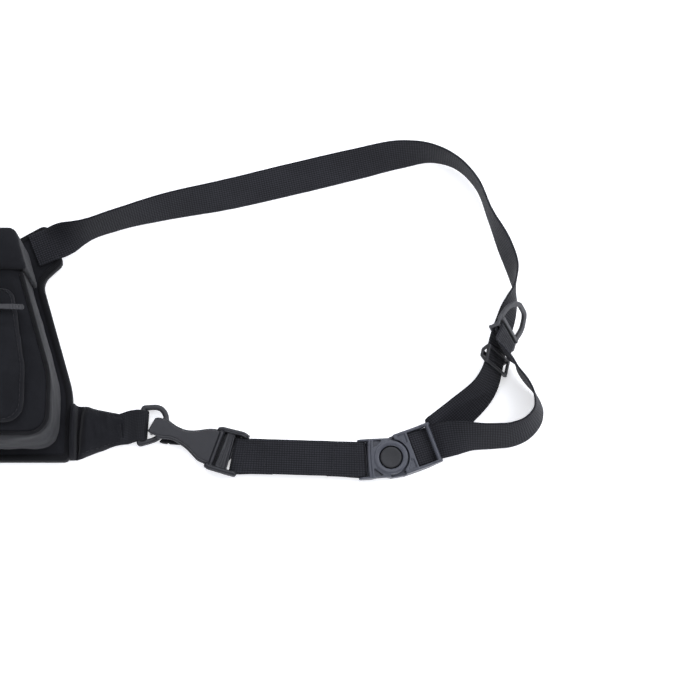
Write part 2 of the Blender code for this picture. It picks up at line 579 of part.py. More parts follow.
def side_strap_rows():
    """Flat loop: folded back under itself round both bars and sewn down."""
    run = male_bar - hook_bar
    length = Vector((run.x, run.y)).length
    z0 = hook_bar.z
    low = web_fold - WEB_T - GAP           # height of a fold-back under the run
    pts = [(26, low), (18, low - 0.1), (11, 0.2), (5, -1.9)] + arc(0, 0, web_fold, 270, 90, 10)
    pts += [(6 + (length - 12) * i / 10, web_fold) for i in range(11)]
    pts += arc(length, 0, web_fold, 90, -90, 10)
    pts += [(length - 5, -1.9), (length - 11, 0.2), (length - 17, low - 0.1), (length - 24, low)]
    ang_run = math.atan2(run.y, run.x)
    ang_hook = math.radians(HOOK_ANGLE) - math.pi
    ang_male = math.radians(MALE_ANGLE) - math.pi
    rows = []
    for x, z in pts:
        k0, k1 = max(0.0, 1 - max(x, 0) / 22), max(0.0, 1 - max(length - x, 0) / 18)
        ang = ang_run + (ang_hook - ang_run) * k0 ** 1.5 + (ang_male - ang_run) * k1 ** 1.5
        c = hook_bar + Vector((math.cos(ang_run) * x, math.sin(ang_run) * x, 0))
        # rows at a bar lie along that bar and are wrapped square to it
        if x < 0:
            c = hook_bar + Vector((math.cos(ang_hook) * x, math.sin(ang_hook) * x, 0))
        if x > length:
            c = male_bar + Vector((math.cos(ang_male), math.sin(ang_male), 0)) * (x - length)
        c.z = z0 + z
        skew = math.cos(ang - ang_run)
        rows.append((c, Vector((-math.sin(ang), math.cos(ang), 0)) / skew))
    return rows


ribbon("side_strap_right", side_strap_rows())

# ---- shoulder strap, sliders and front leg ----------------------------------
route = Route(STRAP_ROUTE)
bx, bz = FEM_BAR
back_end = [(31.5, bz - web_fold), (24, bz - web_fold)] + arc(bx, bz, web_fold, 270, 183, 6)
ribbon("shoulder_strap_right", route.rows(6.5)[:-1] + [(route.at(route.length)[0], route.at(route.length)[2])]
       + profile_rows(back_end, fem_frame))


def strap_frame(k):
    """Frame on the strap: X across, Y back along it, Z out of its outer face."""
    p, tan, side = route.at(route.s[k])
    y = -tan
    x = -side
    z = x.cross(y)
    m = Matrix((x, y, z)).transposed().to_4x4()
    m.translation = p * MM
    return m


slider_frame, glide_frame = strap_frame(SLIDER_AT), strap_frame(GLIDE_AT)
# adjuster with a thumb loop: loop and top bar outside the strap, low bar inside
LOOP_Z0, LOOP_Z1 = 1.9, 4.6
LOOP_TILT = 10.0
BAR_B = (-5.4, WEB_T / 2 + 0.6 + WEB_T + GAP + 1.0)
outer = rounded([(-16.2, -1.4), (16.2, -1.4), (15.4, 11), (7, 20.5), (-7, 20.5), (-15.4, 11)], [.5, .5, 12, 9, 9, 12], 5)
inner = rounded([(-12.6, 1.6), (12.6, 1.6), (11.6, 10), (5.5, 17), (-5.5, 17), (-11.6, 10)], [2, 2, 9, 7, 7, 9], 5)[::-1]
rail2 = rounded([(1.2, LOOP_Z0), (1.2, LOOP_Z1), (-7.4, BAR_B[1] + 1.1), (-9.9, -0.8), (-9.9, -3.3), (-7.2, -3.3)],
                [.4, .4, 1.6, 1, 1, 1.2], 3)
to_x = Matrix(((0, 0, 1, 0), (1, 0, 0, 0), (0, 1, 0, 0), (0, 0, 0, 1)))
slider = combine(
    turned(plate([outer, inner], LOOP_Z0, LOOP_Z1), Matrix.Rotation(math.radians(LOOP_TILT), 4, "X")),
    (JOIN, turned(plate([rail2], 13.3, 16.1), to_x)), (JOIN, turned(plate([rail2], -16.1, -13.3), to_x)),
    (JOIN, rod((-14, BAR_B[0], BAR_B[1]), (14, BAR_B[0], BAR_B[1]), 1.0, 12)),
    (JOIN, box((-13.2, -1.2, 2.6), (15.4, 1.1, 6.4))),
    (JOIN, box((-14, -9.7, -3.3), (14, -7.7, -1.3))))
# the bars cross the strap on a slant
CANT = 0.27
for v in slider.vertices:
    v.co.y -= CANT * v.co.x
add("loop_slider_right", slider, GREY, 0.45, matrix=slider_frame)

rail3 = rounded([(-7.9, 1.0), (-7.9, 3.4), (4.9, 3.4), (4.9, 1.0), (1.3, -3.4), (-4.3, -3.4)], [1, 1, 1, 1, 1.5, 1.5], 3)
glide = combine(
    turned(plate([rail3], 13.3, 15.6), to_x),
    (JOIN, box((-14, -7.7, 1.35), (14, -5.7, 3.3))), (JOIN, box((-14, 2.7, 1.35), (14, 4.7, 3.3))),
    (JOIN, box((-14, -2.9, -3.3), (14, -0.1, -1.35))),
    (JOIN, turned(plate([rail3], -15.6, -13.3), to_x)))
for v in glide.vertices:
    v.co.y -= 0.12 * v.co.x
add("tri_glide_right", glide, PLASTIC, 0.45, matrix=glide_frame)

leg_fold = 1.0 + GAP + WEB_T / 2
leg_z = BAR_B[1] + leg_fold


def slider_point(y, z):
    return slider_frame @ (Vector((0.9 * CANT * (y - BAR_B[0]), y, z)) * MM) / MM


side_s = (route.at(route.s[SLIDER_AT])[2] - CANT * route.at(route.s[SLIDER_AT])[1]).normalized()
start = profile_rows(arc(bx, bz, web_fold, 177, 90, 6) + [(24, bz + web_fold), (30, bz + web_fold), (35, bz + web_fold)], fem_frame)
end_lean = math.degrees(math.asin(side_s.z))
leg_pts = [tuple(start[-1][0]) + (0,)] + LEG_ROUTE + [tuple(slider_point(-16, leg_z + 0.4)) + (end_lean,)]
leg = Route(leg_pts)
fold_rows = [(slider_point(y, z), side_s) for y, z in
             [(-13, leg_z + 0.2), (-10.5, leg_z), (-8.0, leg_z)] + arc(BAR_B[0], BAR_B[1], leg_fold, 90, -90, 8)
             + [(-7.6, BAR_B[1] - leg_fold + 0.4), (-10.0, BAR_B[1] - 1.0)]]
leg_rows = leg.rows(6.0)
for i, (p, s) in enumerate(leg_rows):
    # the width swings round to lie along the adjuster's bar
    k = max(0.0, 1 - (len(leg_rows) - 1 - i) * 6.0 / 22)
    k = k * k * (3 - 2 * k)
    leg_rows[i] = (p, (s * (1 - k) + side_s * k).normalized())
ribbon("front_leg_right", start[:-1] + leg_rows + fold_rows)

# ---- left side: the mirror image of the right ---------------------------------
FLIP = Matrix.Scale(-1, 4, (1, 0, 0))
bpy.context.view_layer.update()
dg = bpy.context.evaluated_depsgraph_get()
for ob in [o for o in PARTS.objects if o.name.endswith("_right") and "lid_" not in o.name and "pouch_" not in o.name]:
    name = ob.name.replace("_right", "_left")
    me = bpy.data.meshes.new_from_object(ob.evaluated_get(dg))
    at = FLIP @ ob.matrix_world.translation
    me.transform(Matrix.Translation(-at) @ FLIP @ ob.matrix_world)
    me.flip_normals()
    own = me.materials[0].copy()
    own.name = name
    me.materials.clear()
    me.materials.append(own)
    twin = bpy.data.objects.new(name, me)
    twin.location = at
    PARTS.objects.link(twin)
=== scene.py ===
import math

import bmesh
import bpy
import numpy as np
from mathutils import Matrix, Vector, noise


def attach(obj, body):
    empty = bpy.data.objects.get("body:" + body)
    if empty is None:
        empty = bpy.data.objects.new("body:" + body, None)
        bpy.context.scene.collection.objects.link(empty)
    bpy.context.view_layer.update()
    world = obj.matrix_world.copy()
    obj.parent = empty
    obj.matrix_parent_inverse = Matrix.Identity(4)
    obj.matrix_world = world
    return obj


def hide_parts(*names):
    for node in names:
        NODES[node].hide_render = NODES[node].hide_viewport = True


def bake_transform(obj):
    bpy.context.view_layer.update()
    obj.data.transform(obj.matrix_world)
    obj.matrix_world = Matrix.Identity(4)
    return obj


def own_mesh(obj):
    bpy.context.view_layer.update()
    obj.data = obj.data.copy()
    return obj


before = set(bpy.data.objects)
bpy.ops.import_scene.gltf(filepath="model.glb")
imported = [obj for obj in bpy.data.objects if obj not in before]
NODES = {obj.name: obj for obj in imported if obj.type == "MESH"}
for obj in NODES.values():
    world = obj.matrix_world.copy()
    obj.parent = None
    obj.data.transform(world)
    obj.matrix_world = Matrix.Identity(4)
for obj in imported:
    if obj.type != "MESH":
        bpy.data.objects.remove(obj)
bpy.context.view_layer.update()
SCENE = bpy.context.scene

# Everything below is drawn in millimetres and put in place in metres.
MM = 0.001
GAP = 0.3
TO_M = Matrix.Scale(MM, 4)
FLIP = Matrix.Scale(-1, 4, (1, 0, 0))

WEB_W, WEB_T = 25.0, 1.4
PACK_HALF_BOTTOM, PACK_HALF_TOP = 93.0, 60.0
PACK_Y0, PACK_YM, PACK_Y1 = -76.0, -28.0, 80.0
BACK_T = 8.0
POUCH_Z0, POUCH_Z1, POUCH_WALL = 8.4, 64.0, 4.0
LID_Y0, LID_Z1, LID_WALL = 46.0, 68.0, 3.0
POCKET_Z1 = 72.0
INSET = 6.0
P_Y0, P_Y1 = PACK_Y0 + INSET, PACK_Y1 - 8

RING_ROD, RING_W, RING_D = 3.4, 28.0, 18.8
RING_POS, RING_ANGLE = (143.0, -51.2, 4.4), -6.0
TAB_W, TAB_IN, TAB_DROP = 24.0, -23.0, 0.37
HOOK_POS, HOOK_ANGLE, HOOK_L = (214.3, -74.6, 5.0), 160.5, 68.0
GATE_PIN, NOSE_L, HOOK_BAR_R = (38.0, 0.0, -0.6), 14.6, 1.5
DISC_POS, MALE_ANGLE, FEMALE_ANGLE = (318.7, -74.8, 0.0), 183.0, 20.0
BUTTON_R, BAR_R = 7.6, 1.5
MALE_BAR, FEM_BAR, BUCKLE_HALF_W = (20.9, 5.0), (17.5, 4.6), 14.8

STRAP_ROUTE = [
    (63.0, 76.0, 9.4, 0), (77.5, 81.9, 9.8, 3), (94.0, 88.4, 12.0, 59),
    (122.0, 98.6, 12.3, 70), (155.0, 108.3, 11.3, 59), (200.0, 118.3, 9.9, 47),
    (245.0, 129.6, 9.2, 42), (295.0, 142.0, 9.5, 45), (327.0, 148.9, 11.0, 55),
    (347.0, 149.4, 12.7, 75), (366.5, 142.2, 13.3, 88), (381.0, 127.0, 13.4, 91),
    (391.0, 102.0, 13.4, 88), (401.0, 78.5, 13.2, 74), (407.0, 59.0, 13.6, 79),
    (407.4, 44.0, 15.6, 99), (402.8, 30.0, 16.6, 118), (398.3, 17.0, 16.6, 122),
    (395.2, 8.0, 16.6, 122.5), (393.6, 1.2, 16.4, 123), (392.2, -5.0, 16.2, 123),
    (390.6, -12.2, 15.7, 123), (384.6, -25.5, 12.2, 132), (368.2, -41.8, 8.0, 148),
    (351.0, -56.2, 3.6, 170),
]
SLIDER_AT, GLIDE_AT = 17, 20
LEG_ROUTE = [
    (358.5, -61.6, 8.2, 14), (372.0, -60.2, 10.6, 45), (390.0, -60.0, 11.3, 56),
    (405.0, -58.4, 11.5, 58), (416.5, -52.2, 11.9, 64), (422.4, -42.5, 12.5, 70),
    (420.6, -31.3, 13.3, 78), (413.9, -20.5, 14.6, 86), (408.6, -13.2, 15.8, 84),
    (405.6, -7.2, 17.0, 80),
]


# ---- small modelling helpers --------------------------------------------------
def link(name, me):
    ob = bpy.data.objects.new(name, me)
    SCENE.collection.objects.link(ob)
    return ob


def evaluated(ob):
    return bpy.data.meshes.new_from_object(ob.evaluated_get(bpy.context.evaluated_depsgraph_get()))


def drop(ob):
    bpy.data.objects.remove(ob, do_unlink=True)


def mesh_of(bm, weld=0.0):
    if weld:
        bmesh.ops.remove_doubles(bm, verts=bm.verts, dist=weld)
    bmesh.ops.recalc_face_normals(bm, faces=bm.faces)
    if bm.calc_volume(signed=True) < 0:
        bmesh.ops.reverse_faces(bm, faces=bm.faces)
    me = bpy.data.meshes.new("m")
    bm.to_mesh(me)
    bm.free()
    return me


def placed(pos, angle=0.0, tilt=0.0):
    return (Matrix.Translation(Vector(pos)) @ Matrix.Rotation(math.radians(angle), 4, "Z")
            @ Matrix.Rotation(math.radians(tilt), 4, "Y"))


def box(lo, hi):
    bm = bmesh.new()
    bmesh.ops.create_cube(bm, size=1.0)
    for v in bm.verts:
        v.co = Vector([lo[i] + (v.co[i] + 0.5) * (hi[i] - lo[i]) for i in range(3)])
    return mesh_of(bm)


def rod(p0, p1, r, seg=24, r2=None):
    p0, p1 = Vector(p0), Vector(p1)
    bm = bmesh.new()
    bmesh.ops.create_cone(bm, cap_ends=True, segments=seg, radius1=r, radius2=r if r2 is None else r2,
                          depth=(p1 - p0).length)
    rot = Vector((0, 0, 1)).rotation_difference((p1 - p0).normalized()).to_matrix().to_4x4()
    bm.transform(Matrix.Translation((p0 + p1) / 2) @ rot)
    return mesh_of(bm)


def rounded(points, radii, n=5):
    out = []
    k = len(points)
    if not hasattr(radii, "__len__"):
        radii = [radii] * k
    for i in range(k):
        p, a, b = (Vector(points[j % k]) for j in (i, i - 1, i + 1))
        da, db = (a - p).normalized(), (b - p).normalized()
        half = da.angle(db) / 2
        cut = min(radii[i] / math.tan(half), 0.49 * min((a - p).length, (b - p).length))
        r = cut * math.tan(half)
        if r < 0.05:
            out.append(p)
            continue
        c = p + (da + db).normalized() * (r / math.sin(half))
        u, turn = (p + da * cut) - c, (p + db * cut) - c
        ang = u.angle_signed(turn)
        for j in range(n + 1):
            t = -ang * j / n
            out.append(c + Vector((u.x * math.cos(t) - u.y * math.sin(t), u.x * math.sin(t) + u.y * math.cos(t))))
    return [(p.x, p.y) for p in out]


def plate(loops, z0, z1, bevel=0.0, res=2):
    cu = bpy.data.curves.new("outline", "CURVE")
    cu.dimensions = "2D"
    cu.fill_mode = "BOTH"
    cu.extrude = (z1 - z0) / 2 - bevel
    cu.bevel_depth = bevel
    cu.bevel_resolution = res
    cu.offset = -bevel
    for loop in loops:
        sp = cu.splines.new("POLY")
        sp.points.add(len(loop) - 1)
        for q, (x, y) in zip(sp.points, loop):
            q.co = (x, y, 0, 1)
        sp.use_cyclic_u = True
    ob = link("outline", cu)
    me = evaluated(ob)
    drop(ob)
    bm = bmesh.new()
    bm.from_mesh(me)
    bm.transform(Matrix.Translation((0, 0, (z0 + z1) / 2)))
    return mesh_of(bm, 0.002)


def tube(points, r, cyclic=False, res=4):
    cu = bpy.data.curves.new("rod", "CURVE")
    cu.dimensions = "3D"
    cu.bevel_depth = r
    cu.bevel_resolution = res
    cu.use_fill_caps = not cyclic
    sp = cu.splines.new("POLY")
    sp.points.add(len(points) - 1)
    for q, p in zip(sp.points, points):
        q.co = (*p, 1)
    sp.use_cyclic_u = cyclic
    ob = link("rod", cu)
    me = evaluated(ob)
    drop(ob)
    bm = bmesh.new()
    bm.from_mesh(me)
    return mesh_of(bm, 0.001)


def turned(me, matrix):
    me.transform(matrix)
    return me


def finer(me, cuts):
    bm = bmesh.new()
    bm.from_mesh(me)
    bmesh.ops.subdivide_edges(bm, edges=bm.edges[:], cuts=cuts, use_grid_fill=True)
    return mesh_of(bm)


CUT, JOIN, MEET = "DIFFERENCE", "UNION", "INTERSECT"


def combine(base, *steps):
    ob = link("base", base)
    for op, other in steps:
        tool = link("tool", other)
        mod = ob.modifiers.new("b", "BOOLEAN")
        mod.operation, mod.solver, mod.object = op, "EXACT", tool
        me = evaluated(ob)
        ob.modifiers.clear()
        ob.data = me
        drop(tool)
    me = ob.data
    drop(ob)
    bm = bmesh.new()
    bm.from_mesh(me)
    return mesh_of(bm, 0.001)


def together(*meshes):
    """Several closed meshes in one, not welded."""
    bm = bmesh.new()
    for me in meshes:
        bm.from_mesh(me)
    out = bpy.data.meshes.new("m")
    bm.to_mesh(out)
    bm.free()
    return out


def moulded(me, voxel=0.4, smooth=3, faces=9000, wobble=None):
    """Moulded look: corners rounded as a mould leaves them, hollows filleted."""
    ob = link("tmp", me)
    r = ob.modifiers.new("r", "REMESH")
    r.mode, r.voxel_size = "VOXEL", voxel
    s = ob.modifiers.new("s", "SMOOTH")
    s.factor, s.iterations = 0.5, smooth
    me = evaluated(ob)
    if wobble:
        for v in me.vertices:
            v.co += wobble(v.co)
    ob.modifiers.clear()
    ob.data = me
    if faces and len(me.polygons) * 2 > faces:
        d = ob.modifiers.new("d", "DECIMATE")
        d.ratio = faces / (2 * len(me.polygons))
        me = evaluated(ob)
    drop(ob)
    me.shade_smooth()
    return me


def arc(cx, cz, r, a0, a1, n=8):
    return [(cx + r * math.cos(math.radians(a0 + (a1 - a0) * i / n)),
             cz + r * math.sin(math.radians(a0 + (a1 - a0) * i / n))) for i in range(n + 1)]


def circle(r, n=64, cx=0.0, cy=0.0):
    return [(cx + r * math.cos(2 * math.pi * i / n), cy + r * math.sin(2 * math.pi * i / n)) for i in range(n)]


def smooth_step(t):
    t = min(1.0, max(0.0, t))
    return t * t * (3 - 2 * t)


# ---- pieces and how they ride ----------------------------------------------------
PIECES = []


def piece(name, me, material, body, slot, nodes=(), blend=None, sheet=None, padded=None, weighted=False, twin=False,
          matrix=None, squash=None):
    """A finished piece. With twin, its mirror image is made for the left side too."""
    if matrix is not None:
        me.transform(matrix)
    me.transform(TO_M)
    me.materials.clear()
    me.materials.append(material)
    PIECES.append(dict(name=name, me=me, body=body, slot=slot, nodes=nodes, blend=blend, sheet=sheet,
                       padded=padded, weighted=weighted, twin=twin, squash=squash))


def flipped(p):
    """The left-hand copy of a right-hand piece."""
    me = p["me"].copy()
    me.transform(FLIP)
    me.flip_normals()
    q = dict(p, me=me, name=p["name"].replace("_right", "_left"),
             body=p["body"].replace("_right", "_left"), nodes=[n.replace("_right", "_left") for n in p["nodes"]])
    if p["blend"]:
        b, s, e = p["blend"]
        q["blend"] = (b.replace("_right", "_left"), FLIP @ Vector(s), FLIP @ Vector(e))
    if p["squash"]:
        joint, anchor, keep = p["squash"]
        q["squash"] = (joint.replace("_right", "_left"), FLIP @ Vector(anchor), keep)
    if p["sheet"]:
        width, length, held, on = p["sheet"]
        q["sheet"] = (width, length, held, [n.replace("_right", "_left") for n in on])
    return q


def build_pieces():
    made = {}
    for p in PIECES + [flipped(p) for p in PIECES if p["twin"]]:
        ob = link(p["name"], p["me"])
        if p["weighted"]:
            w = ob.modifiers.new("normals", "WEIGHTED_NORMAL")
            w.mode, w.weight = "FACE_AREA", 60
        if p["blend"]:
            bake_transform(ob)
        else:
            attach(ob, p["body"])
        if p["squash"]:
            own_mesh(ob)
        if p["nodes"]:
            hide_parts(*p["nodes"])
        made[p["name"]] = ob
    return made


# ---- materials ------------------------------------------------------------------
class Nodes:
    """Short hand for building a node tree."""

    def __init__(self, name):
        self.m = bpy.data.materials.new(name)
        self.m.use_nodes = True
        self.t = self.m.node_tree
        self.b = self.t.nodes["Principled BSDF"]

    def new(self, kind, **values):
        n = self.t.nodes.new(kind)
        for k, v in values.items():
            if hasattr(n, k):
                setattr(n, k, v)
            else:
                n.inputs[k.replace("_", " ")].default_value = v
        return n

    def wire(self, a, b):
        self.t.links.new(a, b)

    def put(self, value, socket):
        if hasattr(value, "is_output"):
            self.wire(value, socket)
        else:
            socket.default_value = value

    def math(self, op, a, b=0.0, c=None, clamp=False):
        n = self.t.nodes.new("ShaderNodeMath")
        n.operation, n.use_clamp = op, clamp
        self.put(a, n.inputs[0])
        self.put(b, n.inputs[1])
        if c is not None:
            self.put(c, n.inputs[2])
        return n.outputs[0]

    def noise(self, vector, scale, detail=3.0, rough=0.55):
        n = self.t.nodes.new("ShaderNodeTexNoise")
        self.wire(vector, n.inputs["Vector"])
        n.inputs["Scale"].default_value = scale
        n.inputs["Detail"].default_value = detail
        n.inputs["Roughness"].default_value = rough
        return n.outputs["Fac"]

    def ramp(self, fac, stops):
        n = self.t.nodes.new("ShaderNodeValToRGB")
        self.wire(fac, n.inputs["Fac"])
        while len(n.color_ramp.elements) < len(stops):
            n.color_ramp.elements.new(0.5)
        for e, (at, rgb) in zip(n.color_ramp.elements, stops):
            e.position = at
            e.color = (*rgb, 1)
        return n.outputs["Color"]

    def mix(self, fac, a, b):
        n = self.t.nodes.new("ShaderNodeMix")
        n.data_type = "RGBA"
        self.put(fac, n.inputs["Factor"])
        for s, v in ((n.inputs[6], a), (n.inputs[7], b)):
            self.put(v if hasattr(v, "is_output") else (*v, 1), s)
        return n.outputs[2]

    def span(self, value, lo, hi, a=0.0, b=1.0):
        n = self.t.nodes.new("ShaderNodeMapRange")
        for i, v in enumerate((value, lo, hi, a, b)):
            self.put(v, n.inputs[i])
        return n.outputs[0]

    def bump(self, height, strength, distance, normal=None):
        n = self.t.nodes.new("ShaderNodeBump")
        n.inputs["Strength"].default_value = strength
        n.inputs["Distance"].default_value = distance
        self.wire(height, n.inputs["Height"])
        if normal is not None:
            self.wire(normal, n.inputs["Normal"])
        return n.outputs["Normal"]

    def obj(self):
        return self.t.nodes.new("ShaderNodeTexCoord").outputs["Object"]

    def uv(self):
        return self.t.nodes.new("ShaderNodeTexCoord").outputs["UV"]

    def xyz(self, vector):
        n = self.t.nodes.new("ShaderNodeSeparateXYZ")
        self.wire(vector, n.inputs[0])
        return n.outputs

    def done(self, **constants):
        for k, v in constants.items():
            self.b.inputs[k.replace("_", " ")].default_value = v
        return self.m


def webbing_material(name, dark, light, pitch_u=1.35, pitch_v=1.25, depth=0.16, sheen=0.06):
    """Flat woven webbing: rows of picks across rows of warp, from the strap's own length and width."""
    k = Nodes(name)
    uv = k.uv()
    u, v, _ = k.xyz(uv)
    wob = k.noise(uv, 160.0, 2.0)
    u2 = k.math("ADD", u, k.math("MULTIPLY", wob, 0.00035))
    v2 = k.math("ADD", v, k.math("MULTIPLY", wob, 0.00025))
    a = k.math("ABSOLUTE", k.math("SINE", k.math("MULTIPLY", u2, math.pi / (pitch_u * MM))))
    b = k.math("ABSOLUTE", k.math("SINE", k.math("MULTIPLY", v2, math.pi / (pitch_v * MM))))
    over = k.math("MULTIPLY", k.math("POWER", a, 0.6), k.math("POWER", b, 0.6))
    # grooves between the warp ends, and the yarn's own twist
    groove = k.math("POWER", b, 0.45)
    twist = k.math("SINE", k.math("ADD", k.math("MULTIPLY", u2, 2 * math.pi / 0.00042),
                                  k.math("MULTIPLY", v2, 2 * math.pi / 0.0005)))
    fibre = k.math("ADD", 0.5, k.math("MULTIPLY", twist, 0.5))
    height = k.math("ADD", k.math("MULTIPLY", over, 0.65),
                    k.math("ADD", k.math("MULTIPLY", groove, 0.28), k.math("MULTIPLY", fibre, 0.07)))
    blotch = k.noise(uv, 38.0, 4.0)
    slow = k.noise(uv, 9.0, 2.0)
    # the colour follows the weave's relief: painted shade in the grooves and painted light on the crests, over random
    # blotches
    tone = k.math("ADD", k.math("MULTIPLY", height, 0.62),
                  k.math("ADD", k.math("MULTIPLY", blotch, 0.26), k.math("MULTIPLY", slow, 0.22)))
    colour = k.ramp(tone, [(0.22, [c * 0.55 for c in dark]), (0.52, dark), (0.86, light)])
    k.wire(colour, k.b.inputs["Base Color"])
    k.wire(k.span(height, 0.0, 1.0, 0.92, 0.66), k.b.inputs["Roughness"])
    k.wire(k.bump(height, 0.75, depth * MM), k.b.inputs["Normal"])
    return k.done(Specular_IOR_Level=0.20, Sheen_Weight=sheen, Sheen_Roughness=0.45)


def cloth_material(name, dark, light, pitch=0.55, depth=0.05, sheen=0.06, spec=0.15):
    """Fine plain-weave nylon, from the piece's own position."""
    k = Nodes(name)
    at = k.obj()
    x, y, z = k.xyz(at)
    wob = k.noise(at, 120.0, 2.0)
    shift = k.math("MULTIPLY", wob, 0.0004)
    p = math.pi / (pitch * MM)
    a = k.math("SINE", k.math("MULTIPLY", k.math("ADD", k.math("ADD", x, k.math("MULTIPLY", z, 0.31)), shift), p))
    b = k.math("SINE", k.math("MULTIPLY", k.math("ADD", k.math("ADD", y, k.math("MULTIPLY", z, 0.83)), shift), p))
    weave = k.math("ADD", 0.5, k.math("MULTIPLY", k.math("MULTIPLY", a, b), 0.5))
    crease = k.noise(at, 70.0, 5.0, 0.62)
    broad = k.noise(at, 16.0, 3.0)
    # the colour follows the weave and the creases: painted shade in their hollows and painted light on their ridges,
    # with broad random tone
    tone = k.math("ADD", k.math("MULTIPLY", weave, 0.34),
                  k.math("ADD", k.math("MULTIPLY", crease, 0.36), k.math("MULTIPLY", broad, 0.36)))
    k.wire(k.ramp(tone, [(0.26, [c * 0.6 for c in dark]), (0.52, dark), (0.80, light)]), k.b.inputs["Base Color"])
    k.wire(k.span(tone, 0.2, 0.9, 0.95, 0.70), k.b.inputs["Roughness"])
    n1 = k.bump(crease, 0.35, 0.55 * MM)
    k.wire(k.bump(weave, 0.6, depth * MM, n1), k.b.inputs["Normal"])
    return k.done(Specular_IOR_Level=spec, Sheen_Weight=sheen, Sheen_Roughness=0.5)


def plastic_material(name, rgb, rough=0.42, grain=0.035, edge_highlight_gain=1.5, spec=0.45, scale=1.0):
    """Moulded nylon: spark-eroded grain, with a painted highlight in patches along the convex edges."""
    k = Nodes(name)
    at = k.obj()
    fine = k.noise(at, 2600.0 / scale, 2.0, 0.6)
    cloudy = k.noise(at, 95.0, 4.0)
    scuff_and_highlight_patches = k.noise(at, 420.0, 6.0, 0.7)
    geo = k.t.nodes.new("ShaderNodeNewGeometry")
    # painted highlight: convex edges are made paler, in patches
    edge = k.span(geo.outputs["Pointiness"], 0.505, 0.60)
    painted_edge_highlight = k.math("MULTIPLY", edge, k.span(scuff_and_highlight_patches, 0.38, 0.62, 0.25, 1.0), clamp=True)
    base = k.ramp(cloudy, [(0.30, [c * 0.84 for c in rgb]), (0.55, rgb), (0.78, [min(1, c * 1.16) for c in rgb])])
    k.wire(k.mix(k.math("MULTIPLY", painted_edge_highlight, 0.55), base, [min(1, c * edge_highlight_gain) for c in rgb]), k.b.inputs["Base Color"])
    r = k.math("ADD", k.span(scuff_and_highlight_patches, 0.3, 0.75, rough - 0.06, rough + 0.09), k.math("MULTIPLY", fine, 0.05))
    k.wire(r, k.b.inputs["Roughness"])
    n1 = k.bump(cloudy, 0.12, 0.25 * MM)
    k.wire(k.bump(fine, 0.55, grain * MM, n1), k.b.inputs["Normal"])
    return k.done(Specular_IOR_Level=spec)


def thread_material(name, rgb):
    k = Nodes(name)
    at = k.obj()
    x, y, _ = k.xyz(at)
    twist = k.math("SINE", k.math("MULTIPLY", k.math("ADD", x, k.math("MULTIPLY", y, 0.7)), 2 * math.pi / 0.0005))
    fuzz = k.noise(at, 1500.0, 3.0)
    tone = k.math("ADD", k.math("MULTIPLY", twist, 0.2), fuzz)
    k.wire(k.ramp(tone, [(0.2, [c * 0.6 for c in rgb]), (0.5, rgb), (0.8, [c * 1.5 for c in rgb])]), k.b.inputs["Base Color"])
    k.wire(k.span(fuzz, 0.2, 0.8, 0.55, 0.8), k.b.inputs["Roughness"])
    k.wire(k.bump(tone, 0.5, 0.05 * MM), k.b.inputs["Normal"])
    return k.done(Specular_IOR_Level=0.3)


def metal_material(name, rgb, rough):
    k = Nodes(name)
    at = k.obj()
    line = k.noise(at, 900.0, 3.0)
    cloud = k.noise(at, 140.0, 3.0)
    k.wire(k.ramp(cloud, [(0.3, [c * 0.85 for c in rgb]), (0.7, rgb)]), k.b.inputs["Base Color"])
    k.wire(k.span(line, 0.2, 0.8, rough - 0.07, rough + 0.1), k.b.inputs["Roughness"])
    k.wire(k.bump(line, 0.2, 0.02 * MM), k.b.inputs["Normal"])
    return k.done(Metallic=1.0)


WEB = webbing_material("webbing_black", (0.0048, 0.0049, 0.0065), (0.0218, 0.0224, 0.0274), 1.75, 1.60, 0.30)
TAB = webbing_material("webbing_tab", (0.0050, 0.0052, 0.0066), (0.0130, 0.0136, 0.0164), 1.2, 1.2, 0.06)
CLOTH = cloth_material("pack_cloth", (0.0050, 0.0052, 0.0068), (0.0130, 0.0136, 0.0166))
TAPE = cloth_material("edge_tape", (0.0042, 0.0042, 0.0050), (0.0110, 0.0112, 0.0130), 0.8, 0.10)
HOOK_P = plastic_material("hook_plastic", (0.0078, 0.0080, 0.0104), 0.34, spec=0.38)
RING_P = plastic_material("ring_plastic", (0.0100, 0.0102, 0.0122), 0.36, spec=0.42)
SLATE_P = plastic_material("buckle_plastic", (0.0450, 0.0480, 0.0590), 0.36, spec=0.42)
BUTTON_P = plastic_material("button_plastic", (0.0200, 0.0202, 0.0215), 0.55, grain=0.06, spec=0.3)
GREY_P = plastic_material("slider_plastic", (0.0520, 0.0520, 0.0545), 0.44, spec=0.3)
GLIDE_P = plastic_material("glide_plastic", (0.0160, 0.0160, 0.0180), 0.38, spec=0.42)
ZIP_P = plastic_material("zip_plastic", (0.014, 0.014, 0.016), 0.45)
THREAD = thread_material("thread_black", (0.010, 0.010, 0.012))
STEEL = metal_material("spring_steel", (0.55, 0.55, 0.56), 0.32)
NICKEL = metal_material("magnet_nickel", (0.62, 0.61, 0.60), 0.22)
GUNMETAL = metal_material("zip_gunmetal", (0.050, 0.050, 0.054), 0.40)


